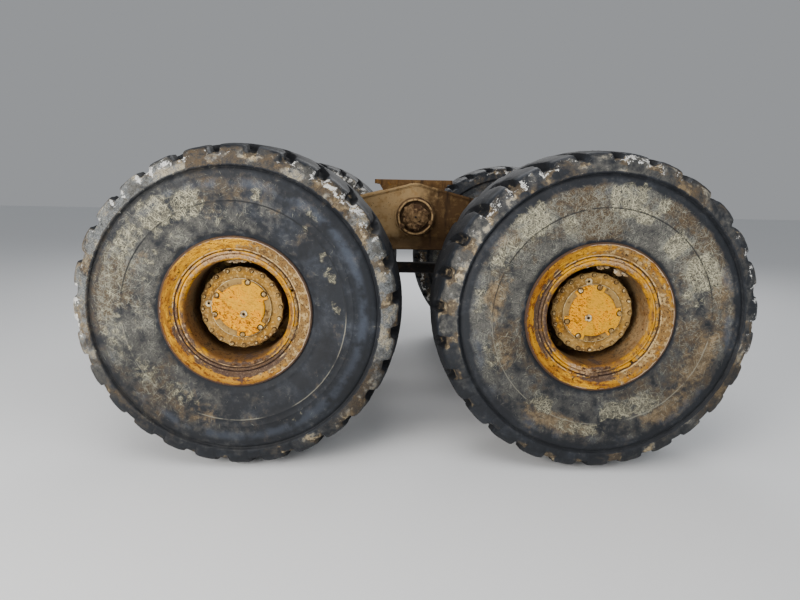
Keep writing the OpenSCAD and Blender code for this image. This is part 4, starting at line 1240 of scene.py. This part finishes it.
# Painted shade, with brown stain, on the flange's outer lip.
rim_paint.coat((62, 47, 39), 0.6, rim_paint.lane(radius, 0.3825, 0.41), (0.24, 0.38, fine), 0.92)
# Painted highlight: a thin pale line where the lip's crest catches the light.
edge_glint = rim_paint.mask(1.02, 1.22, (dust_side, 0.35), (pale_side, 0.2), (fine, 0.9), (streaks, 0.9))
rim_paint.coat((190, 166, 140), 0.5, rim_paint.lane(radius, 0.3805, 0.3835, 0.001), edge_glint, 0.8)
# Painted highlight, with bare worn paint, where the wear map marks it.
rim_paint.coat((196, 160, 112), 0.5, (0.86, 1.06, rubbed_highlight, fine), front, 0.7)
rim_paint.relief(fine, 3.4)
rim_paint.relief(crust, 2.0)
rim_finish = rim_paint.done()
dress(sum(rim_pieces, []), rim_finish)

# %% Hub paint
hub_pieces = (hubs, drum_bolts, wheel_nuts, covers, cover_bolts, plugs)
for pieces in hub_pieces:
    paint_sides(pieces)
hub_paint = Finish("hub_paint", (150, 122, 74), 0.85, shine=0.04)
rubbed_highlight, dust_and_shade, clean, slot = hub_paint.map_of("wear")
dust_side, stain_side, _, pale_side = hub_paint.map_of("sides")
broad = hub_paint.blotches(9, 5.0, shift=2)
fine = hub_paint.blotches(60, 7.0, shift=6)
crust = hub_paint.blotches(130, 5.0, shift=8)
wrinkles = hub_paint.blotches(62, 2.0, (1, 1, 2.4), (0, 25, 0), 3)
hub_paint.coat((108, 82, 50), None, (0.6, 0.78, broad, (stain_side, 0.08), (pale_side, 0.1),
    (fine, 0.3)))
hub_paint.coat((180, 150, 98), 0.9, (0.52, 0.6, fine))
hub_paint.coat((206, 146, 6), 0.8, clean, 0.95)
wiped = hub_paint.mask(0.78, 0.98, (clean, 0.55), broad, (fine, 0.3), (dust_side, -0.14),
    (pale_side, -0.14))
hub_paint.coat((222, 146, 0), 0.5, wiped)
hub_paint.coat((238, 172, 0), 0.6, wiped, (0.48, 0.62, fine))
hub_paint.coat((188, 112, 0), 0.7, wiped, (0.78, 0.94, crust, (fine, 0.5)), 0.7)
hub_paint.coat((146, 80, 0), 0.7, clean, (0.71, 0.76, wrinkles, (broad, 0.3), (stain_side, 0.06)), 0.9)
hub_paint.coat((120, 78, 20), 0.8, clean, (0.6, 0.67, (crust, 0.6), (wrinkles, 0.5)))
hub_paint.coat((206, 152, 34), 0.9, clean, (0.84, 0.96, (pale_side, 0.26), (dust_side, 0.2), broad,
    (fine, 0.4)), 0.7)
print("paint of the hubs:", len(hub_paint.tree.nodes), "nodes")

# %% Dust, chips, painted shade and painted highlights on the hubs
hub_paint.coat((158, 128, 76), 0.9, slot, 0.9)
hub_paint.coat((96, 72, 42), 0.9, slot, (0.58, 0.7, (fine, 0.6), (broad, 0.6)))
# Painted shade, with dust, in the joint, under bolt heads, at the plateau's foot and behind the face.
hub_paint.coat((66, 47, 28), 0.95, dust_and_shade, (0.3, 0.55, fine))
hub_paint.coat((66, 44, 26), 0.9, (0.62, 0.68, crust), 0.9)
# Painted highlight, with bare worn paint, on edges, bolt heads and plug rings.
hub_paint.coat((226, 208, 166), 0.6, (0.8, 1.1, rubbed_highlight, fine))
hub_paint.relief(fine, 1.6)
hub_paint.relief(wrinkles, 1.6)
hub_paint.relief(crust, 0.5)
hub_finish = hub_paint.done()
dress(sum(hub_pieces, []), hub_finish)

# %% [markdown]
# ## Mud and steel on the rest
# The beams, axles and saddles are the same paint under a thick, dull coat of dried mud. On the beams
# the front end is paler, as pale mud and painted light, and the low strip is darker, as wet mud and
# painted shade. The shaft is bare steel gone nearly black, the brakes are rusted iron, and the springs
# are rubber with dust on every ledge.

# %% Muddy paint
def muddy(name, paint, share, tone=1.0, dry_and_lit_before=None, damp_and_shaded_below=None):
    """Old paint under a share of dried mud; paler before the given x, as pale mud and painted light,
    and darker under the given z, as wet mud and painted shade.
    """
    finish = Finish(name, paint, 0.6, shine=0.15)
    broad = finish.blotches(3.2, 5.0, shift=3)
    fine = finish.blotches(26, 6.0, shift=1)
    grit = finish.blotches(120, 4.0, shift=6)
    runs = finish.blotches(9, 3.0, (2.5, 2.5, 0.35), shift=4)
    cover = finish.mask(0.86 - share * 0.6, 0.96 - share * 0.5,
        finish.sums("ADD", broad, finish.cross(fine, 0.35)))
    finish.coat((104 * tone, 76 * tone, 46 * tone), 0.92, cover)
    finish.coat((134 * tone, 104 * tone, 64 * tone), 0.95, cover, (0.5, 0.66, fine))
    finish.coat((66 * tone, 47 * tone, 30 * tone), 0.85, cover, (0.52, 0.66, runs))
    # Painted light, with pale dried mud: the part before the given x is paler.
    if dry_and_lit_before is not None:
        split = finish.node("ShaderNodeSeparateXYZ")
        finish.wire(finish.place, split.inputs["Vector"])
        side = finish.mask(0.18 - dry_and_lit_before, 0.4 - dry_and_lit_before, (split.outputs["X"], -1.0), (broad, 0.35),
            (fine, 0.25))
        finish.coat((164, 137, 97), 0.95, side, 0.82)
        finish.coat((140, 112, 74), 0.95, side, (0.5, 0.62, fine))
    # Painted shade, with wet mud: the part under the given z is darker.
    if damp_and_shaded_below is not None:
        low = finish.mask(0.03 - damp_and_shaded_below, 0.12 - damp_and_shaded_below, (split.outputs["Z"], -1.0), (broad, 0.1),
            (fine, 0.06))
        finish.coat((62, 45, 30), 0.9, low, 0.75)
    finish.coat((46, 33, 23), 0.9, (0.64, 0.7, grit))
    finish.relief(broad, 6.0)
    finish.relief(fine, 2.4)
    return finish.done()


beam_finish = muddy("beam_paint", (98, 70, 38), 0.95, 0.66, dry_and_lit_before=0.02, damp_and_shaded_below=AXLE_Z + 0.34)
frame_finish = muddy("frame_paint", (176, 122, 20), 0.66, 0.9)
axle_finish = muddy("axle_paint", (128, 94, 42), 0.84, 0.80)
dress([nodes["beam_left"], nodes["beam_right"]], beam_finish)
dress([nodes["frame_saddles"], nodes["cross_tube"]], frame_finish)
cast = [n for n in nodes if n.startswith(("axle_housing", "diff_carrier", "control_rods"))]
dress([nodes[n] for n in cast], axle_finish)
print("muddy parts:", 4 + len(cast))

# %% Steel, iron and spring rubber
def plain(name, ground, other, dust, roughness, metallic=0.0):
    """Bare metal or rubber with two tones and dust."""
    finish = Finish(name, ground, roughness, metallic)
    fine = finish.blotches(24, 6.0, shift=2)
    finish.coat(other, min(1, roughness + 0.2), (0.46, 0.64, finish.blotches(7, 5.0)))
    finish.coat(dust, 0.95, (0.54, 0.68, fine), 0.7)
    finish.relief(fine, 0.8)
    return finish.done()


shaft_finish = plain("shaft_steel", (26, 23, 21), (44, 35, 27), (74, 59, 42), 0.6)
iron_finish = plain("brake_iron", (104, 78, 56), (74, 60, 50), (128, 104, 76), 0.6, 0.3)
spring_finish = plain("spring_rubber", (30, 30, 31), (46, 44, 41), (112, 92, 64), 0.75)
dress([nodes["drive_shaft"]], shaft_finish)
# The square blocks are near black: painted shade for the plugs' sockets.
dress(sockets, Finish("plug_socket_shades", (12, 10, 9), 0.9, shine=0.05).done())
dress([nodes[n] for n in nodes if n.startswith("brake_")], iron_finish)
dress([nodes[n] for n in nodes if n.startswith("spring_mounts")], spring_finish)

# %% [markdown]
# ## Rounded edges on the welded and cast parts
# The beams, axles, saddles and springs keep their packed shape. A new mesh for each would only
# repeat it, so their own triangles are welded and get a bevel from live modifiers, which leaves the
# frame's meshes as they are and still lets their edges catch the light.

# %% Worn edges on the packed parts
WELDED = ["beam_left", "beam_right", "frame_saddles", "cross_tube", "drive_shaft"]
WELDED += [f"{kind}_{end}" for end in ("front", "rear") for kind in (
    "axle_housing", "diff_carrier", "control_rods", "spring_mounts", "brake_calipers")]
for name in WELDED:
    part = nodes[name]
    weld = part.modifiers.new("weld_triangles", "WELD")
    weld.merge_threshold = 0.00005
    edge = part.modifiers.new("worn_edges", "BEVEL")
    edge.width = (1.2 if name.startswith(("drive_shaft", "diff")) else 2.2) * MM
    edge.segments = 2
    edge.limit_method = "ANGLE"
    edge.angle_limit = math.radians(30)
    edge.harden_normals = True
    for face in part.data.polygons:
        face.use_smooth = True
print("worn edges on", len(WELDED), "parts")

# %% [markdown]
# ## Welds, bolts and plugs of the bogie
# A walking beam is a box of plates, so it has a weld along every seam. A weld bead is a rod of
# molten steel laid in short steps: here a row of points is drawn along the seam, given a round
# section by a curve's own bevel and made a mesh, and its corners are then pushed about. Bolts, nuts
# and plugs are copies of the ones that were made for the wheels.

# %% A weld bead
def weld_bead(name, points, radius, seed, closed=False):
    """A bead of weld along points, radius in mm."""
    seam = bpy.data.curves.new(name, "CURVE")
    seam.dimensions = "3D"
    seam.bevel_depth = radius * MM
    seam.bevel_resolution = 1
    seam.use_fill_caps = True
    line = seam.splines.new("POLY")
    line.points.add(len(points) - 1)
    for corner, place in zip(line.points, points):
        corner.co = (*place, 1)
    line.use_cyclic_u = closed
    bead = bpy.data.objects.new(name, seam)
    bpy.context.collection.objects.link(bead)
    only(bead)
    bpy.ops.object.convert(target="MESH")
    bead = bpy.context.object
    dents(bead, 16, 0.22 * radius, seed)
    bpy.ops.object.mode_set(mode="EDIT")
    bpy.ops.mesh.select_all(action="SELECT")
    bpy.ops.mesh.normals_make_consistent(inside=False)
    bpy.ops.object.mode_set(mode="OBJECT")
    shade(60)
    return bead


def along(corners, step=0.02):
    """Points every 20 mm along a line of corners."""
    points = []
    for a, b in zip(corners, corners[1:]):
        a, b = Vector(a), Vector(b)
        count = max(1, int((b - a).length / step))
        points += [a.lerp(b, i / count) for i in range(count)]
    return points + [Vector(corners[-1])]


def ring_points(x, y, z, radius, count=56):
    """Points on a circle round an axis along Y, in metres."""
    turns = np.linspace(0, 2 * math.pi, count, endpoint=False)
    return [(x + radius * math.cos(a), y, z + radius * math.sin(a)) for a in turns]


def fix_to_bogie(piece, finish):
    """Lets a piece ride on the bogie, with its finish."""
    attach(piece, "bogie")
    dress([piece], finish)
    print(piece.name, len(piece.data.polygons), "faces")


print("points on a ring:", len(ring_points(0, 0, 0, 1)))

# %% Welds of the beams
BEAM_Y = 0.81
PIVOT_Z = AXLE_Z + 0.469
SEAM_TOP = [(-1.035, -0.078), (-0.058, 0.174), (-0.029, 0.184), (0, 0.187), (0.029, 0.184),
            (0.058, 0.174), (1.035, -0.078)]
beads = []
for side in (-1, 1):
    for face in (-1, 1):
        y = side * BEAM_Y + face * 0.0715
        top = along([(x, y, PIVOT_Z + z) for x, z in SEAM_TOP])
        bottom = along([(x, y, PIVOT_Z - 0.188) for x in (-1.0, 1.0)])
        beads.append(weld_bead("seam", top, 4, 21 + side + 3 * face))
        beads.append(weld_bead("seam", bottom, 4, 31 + side + 3 * face))
        ring = ring_points(0, side * BEAM_Y + face * 0.081, PIVOT_Z, 0.122, 64)
        beads.append(weld_bead("boss_weld", ring, 5, 41 + side, closed=True))
fix_to_bogie(join(beads, "beam_welds"), beam_finish)

# %% Welds of the tubes
tube_welds = []
for side in (-1, 1):
    for y in (0.302, 0.538):
        ring = ring_points(0, side * y, PIVOT_Z, 0.102)
        tube_welds.append(weld_bead("tube_weld", ring, 4.5, 51 + side, closed=True))
    for y in (0.47, 0.731, 0.889):
        for x in (FRONT_X, REAR_X):
            ring = ring_points(x, side * y, AXLE_Z, 0.111)
            tube_welds.append(weld_bead("axle_weld", ring, 4, 61 + side, closed=True))
fix_to_bogie(join(tube_welds, "tube_welds"), axle_finish)

# %% Places for bolts
def facing(direction, place):
    """Turns a bolt that points to -Y to another direction, at a place in metres."""
    turn = Vector((0, -1, 0)).rotation_difference(Vector(direction)).to_matrix().to_4x4()
    return Matrix.Translation(Vector(place)) @ turn


def ring_places(direction, centre, radius, count, start=0.0):
    """Places of bolts on a circle round a centre, in metres."""
    axis = Vector(direction)
    across = axis.orthogonal().normalized()
    other = axis.cross(across)
    turns = [start + 2 * math.pi * i / count for i in range(count)]
    spokes = [math.cos(t) * across + math.sin(t) * other for t in turns]
    return [facing(direction, Vector(centre) + radius * spoke) for spoke in spokes]


print("eight places:", len(ring_places((1, 0, 0), (0, 0, 0), 0.1, 8)))

# %% Bolts of the carriers and the drive shaft
DRIVE_Z = AXLE_Z + 0.034
carrier_bolts, flange_nuts = [], []
# Axle, which way the shaft points, its reach, and whether the drive shaft is bolted to it.
shaft_ends = ((FRONT_X, -1, 0.39, False), (FRONT_X, 1, 0.31, True), (REAR_X, -1, 0.39, True))
for x, way, reach, jointed in shaft_ends:
    carrier_bolts += ring_places((way, 0, 0), (x + way * 0.164, 0, DRIVE_Z), 0.186, 16)
    if jointed:
        inner, outer = x + way * (reach - 0.016), x + way * (reach + 0.016)
        flange_nuts += ring_places((-way, 0, 0), (inner, 0, DRIVE_Z), 0.072, 8, 0.39)
        flange_nuts += ring_places((way, 0, 0), (outer, 0, DRIVE_Z), 0.076, 8, 0.39)
axle_bolts = copies_at(hex_bolt("axle_bolt", 11, 9, 3), "axle_bolts", carrier_bolts)
joint_nuts = copies_at(hex_bolt("joint_nut", 8, 8, 1.5), "joint_nuts", flange_nuts)
print("carrier bolts:", len(carrier_bolts), "joint nuts:", len(flange_nuts))

# %% Nuts of the control rods
pin_nuts = []
for sx in (-1, 1):
    for sy in (-1, 1):
        root = Vector((sx * 0.845, sy * 0.330, AXLE_Z + 0.245))
        tip = Vector((sx * 0.175, sy * 0.130, PIVOT_Z - 0.062))
        run = tip - root
        across = Vector((-run.y, run.x, 0)).normalized()
        for end in (root, tip):
            for way in (-1, 1):
                pin_nuts.append(facing(across * way, end + across * way * 0.0715))
print("pin nuts:", len(pin_nuts))
pin_nuts = copies_at(hex_bolt("pin_nut", 19, 12, 4), "pin_nuts", pin_nuts)

# %% Plate bolts, plugs and grease nipples
plate_places = []
for x in (FRONT_X, REAR_X):
    for side in (-1, 1):
        plate_places += ring_places((0, -side, 0), (x, side * 0.900, AXLE_Z), 0.190, 16, 0.1)
plate_bolts = copies_at(hex_bolt("plate_bolt", 12, 9, 3), "plate_bolts", plate_places)

plug_places = []
for x in (FRONT_X, REAR_X):
    plug_places.append(facing((0, 0, -1), (x - 0.05, 0.0, AXLE_Z - 0.243)))
    plug_places.append(facing((0, 0, 1), (x + 0.07, 0.16, AXLE_Z + 0.210)))
ring, socket = ring_plug("axle_plug", 20, 14)
bpy.data.objects.remove(socket)
axle_plugs = copies_at(ring, "axle_plugs", plug_places)

grease_places = [facing((0, side, 0), (0, side * 0.9525, PIVOT_Z)) for side in (-1, 1)]
grease_places += [facing((sx, 0, 0), (sx * 1.055, side * BEAM_Y, PIVOT_Z - 0.12))
                  for sx in (-1, 1) for side in (-1, 1)]
nipple = join([round_bar("nipple", 7, 8, 6, 1.0), round_bar("nipple", 3.5, 16, 10, 1.0)], "nipple")
nipples = copies_at(nipple, "grease_nipples", grease_places)
print("plate bolts:", len(plate_places), "plugs:", len(plug_places), "nipples:", len(grease_places))

# %% Bolts of the calipers
caliper_places = []
for x, mirrored in ((FRONT_X, False), (REAR_X, True)):
    for side in (-1, 1):
        for a in (44, 54, 68, 78, 102, 112, 126, 136):
            angle = math.radians(180 - a if mirrored else a)
            for reach in (0.275, 0.325):
                place = (x + reach * math.cos(angle), side * 0.899, AXLE_Z + reach * math.sin(angle))
                caliper_places.append(facing((0, -side, 0), place))
caliper_bolts = copies_at(hex_bolt("caliper_bolt", 9, 7, 2), "caliper_bolts", caliper_places)

print("caliper bolts:", len(caliper_places))

# %% Bolts take their finish
for piece in (axle_bolts, plate_bolts, axle_plugs):
    fix_to_bogie(piece, axle_finish)
for piece in (joint_nuts, nipples):
    fix_to_bogie(piece, shaft_finish)
fix_to_bogie(pin_nuts, axle_finish)
fix_to_bogie(caliper_bolts, iron_finish)

# %% [markdown]
# ## Clods of mud
# Lumps of pale frozen mud hang inside the top of both near rims, and more is caked in the bottom of
# their gutters. A clod has no face that could be drawn, so each is a ball whose corners are pushed
# about in large and small waves. Painting them on would be cheaper, but they stand out from the
# steel and throw shadows.

# %% A clod
def clod(name, place, size, seed):
    """A lump of mud, size in mm along x, y and z."""
    bpy.ops.object.select_all(action="DESELECT")
    bpy.ops.mesh.primitive_ico_sphere_add(subdivisions=4, radius=1)
    lump = bpy.context.object
    lump.name = name
    ball = corners_of(lump)
    swell = 1 + 0.22 * waves(ball, 1.1, seed) + 0.10 * waves(ball, 0.4, seed + 1)
    move_corners(lump, ball * swell[:, None] * np.array(size) * MM + np.array(place))
    shade(60)
    return lump


def clods_on(place, name, lumps, seed):
    """Joins lumps at (world angle, radius, outwards, size along the ring, across, inwards) in mm."""
    made = []
    for i, (angle, radius, outwards, long, wide, high) in enumerate(lumps):
        lump = clod(name, (0, 0, 0), (high, wide, long), seed + 5 * i)
        lump.data.transform(on_wheel(radius, outwards, angle))
        made.append(lump)
    heap = join(made, name + "_" + place)
    heap.data.transform(Matrix.Translation(CENTRE[place]))
    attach(heap, "wheel_" + place)
    return heap


print("waves on a clod reach", round(0.22 + 0.10, 2), "of its radius")

# %% Clods on the near rims
front_lumps = [(92, 256, 214, 22, 16, 12), (100, 258, 206, 16, 14, 9), (84, 259, 220, 18, 12, 9),
               (76, 262, 208, 14, 12, 7)]
rear_lumps = [(88, 254, 216, 20, 16, 12), (80, 259, 210, 14, 12, 8), (64, 251, 206, 26, 20, 15),
              (56, 260, 212, 15, 12, 8), (103, 262, 216, 14, 11, 6)]
clods = [clods_on("left_front", "clods", front_lumps, 5),
    clods_on("left_rear", "clods", rear_lumps, 35)]
front_row = [(260 + 5.5 * i, 287 - (i % 3) * 3, 268 + (i % 2) * 8, 17, 12, 7) for i in range(9)]
rear_row = [(252 + 6.0 * i, 288 - (i % 3) * 3, 270 + (i % 2) * 7, 15, 11, 6) for i in range(7)]
cakes = [clods_on("left_front", "gutter_mud", front_row, 65),
         clods_on("left_rear", "gutter_mud", rear_row, 95)]
print("heaps of mud:", len(clods) + len(cakes))

# %% Colour of the clods
clod_mud = Finish("clod_mud", (166, 140, 102), 0.95)
crumbs = clod_mud.blotches(55, 6.0, shift=2)
clod_mud.coat((208, 196, 170), None, (0.5, 0.62, crumbs))
clod_mud.coat((104, 80, 52), None, (0.55, 0.68, clod_mud.blotches(20, 5.0)))
clod_mud.relief(crumbs, 2.0)
dress(clods, clod_mud.done())
dark_mud = Finish("gutter_mud", (92, 64, 38), 0.9)
crumbs = dark_mud.blotches(55, 6.0, shift=5)
dark_mud.coat((140, 104, 66), None, (0.52, 0.66, crumbs))
dark_mud.coat((58, 38, 24), None, (0.52, 0.64, dark_mud.blotches(22, 5.0)))
dark_mud.relief(crumbs, 2.0)
dress(cakes, dark_mud.done())

# %% [markdown]
# ## Pivot caps
# Each walking beam is kept on its journal by a cast cap: a raised lip, a sunken ring and a dome with
# the head of the tie bolt, half buried in mud. A turned section gives the cap, and lumps of mud that
# sit on the dome break its outline, because on the real cap mud is what catches the light.

# %% Pivot caps
CAP_FACE = 0.8965
cap_section = [
    (0, 0), (117, 0), (118.5, 3), (118, 9), (114, 13), (111, 16), (110.5, 24), (108, 28.5),
    (103, 30), (99, 28.5), (97, 24), (96, 5), (79, 4), (78, 20), (75, 29), (68, 35.5), (54, 39.5),
    (46, 41), (0, 41)]
# Lumps of mud on a cap: place forwards and up, and size, in mm.
cap_lumps = [(-8, 8, 44), (-34, 34, 34), (30, 36, 30), (44, -10, 30), (-44, -14, 30), (4, -44, 36),
             (-60, 10, 18), (58, 24, 20), (-22, 62, 18), (-30, -50, 22), (92, -34, 14), (-84, -56, 16)]
caps = []
for side in (-1, 1):
    cap = turned("trunnion_caps", cap_section, steps=96, bevel=1.2, closed=False)
    dents(cap, 60, 1.4, 31 + side)
    # The lip gets painted light and the sunken ring painted shade.
    paint_wear_and_light(cap, lambda r, w: (
        0.8 * bump_at(r, 104, 6) * (w > 24), bump_at(r, 88, 11) * (w < 26), 0.6 * (r < 78)))
    head = soften(round_bar("tie_bolt", 36, 17, 6, 2.0), 2.0)
    head.data.transform(on_wheel(0, 39, 0))
    paint_wear_and_light(head, lambda r, w: (0.15, 0, 0.6))
    lumps = []
    for i, (x, z, size) in enumerate(cap_lumps):
        lump = clod("cap_mud", (x * MM, -0.034, z * MM), (size, 0.5 * size, size), 120 + 7 * i)
        paint_wear_and_light(lump, lambda r, w: (0, 0, 1))
        lumps.append(lump)
    cap = join([cap, head] + lumps, "trunnion_caps")
    outwards = Matrix.Rotation(math.pi * (side > 0), 4, "Z")
    cap.data.transform(outwards @ Matrix.Translation((0, -CAP_FACE, 0)))
    cap.data.transform(Matrix.Translation((0, 0, PIVOT_Z)))
    caps.append(cap)
caps = join(caps, "trunnion_caps_look")
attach(caps, "bogie")
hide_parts("trunnion_caps")
print("caps:", len(caps.data.polygons), "faces")

# %% Colour of the caps
cap_finish = Finish("cap_mud", (96, 75, 52), 0.9, shine=0.12)
lip, shaded_recess, lumps, _ = cap_finish.map_of("wear")
crumbs = cap_finish.blotches(45, 6.0, shift=3)
cap_finish.coat((66, 48, 34), None, (0.48, 0.6, cap_finish.blotches(20, 6.0, shift=8)))
cap_finish.coat((132, 106, 76), None, lumps, (0.48, 0.64, crumbs))
cap_finish.coat((62, 45, 32), None, lumps, (0.56, 0.7, cap_finish.blotches(24, 6.0, shift=5)))
# Painted shade in the sunken ring.
cap_finish.coat((46, 34, 25), None, shaded_recess, 0.8)
# Painted light on the raised lip, broken up by crumbs.
cap_finish.coat((184, 152, 106), 0.85, lip, (0.4, 0.52, crumbs))
cap_finish.relief(crumbs, 3.0)
dress([caps], cap_finish.done())
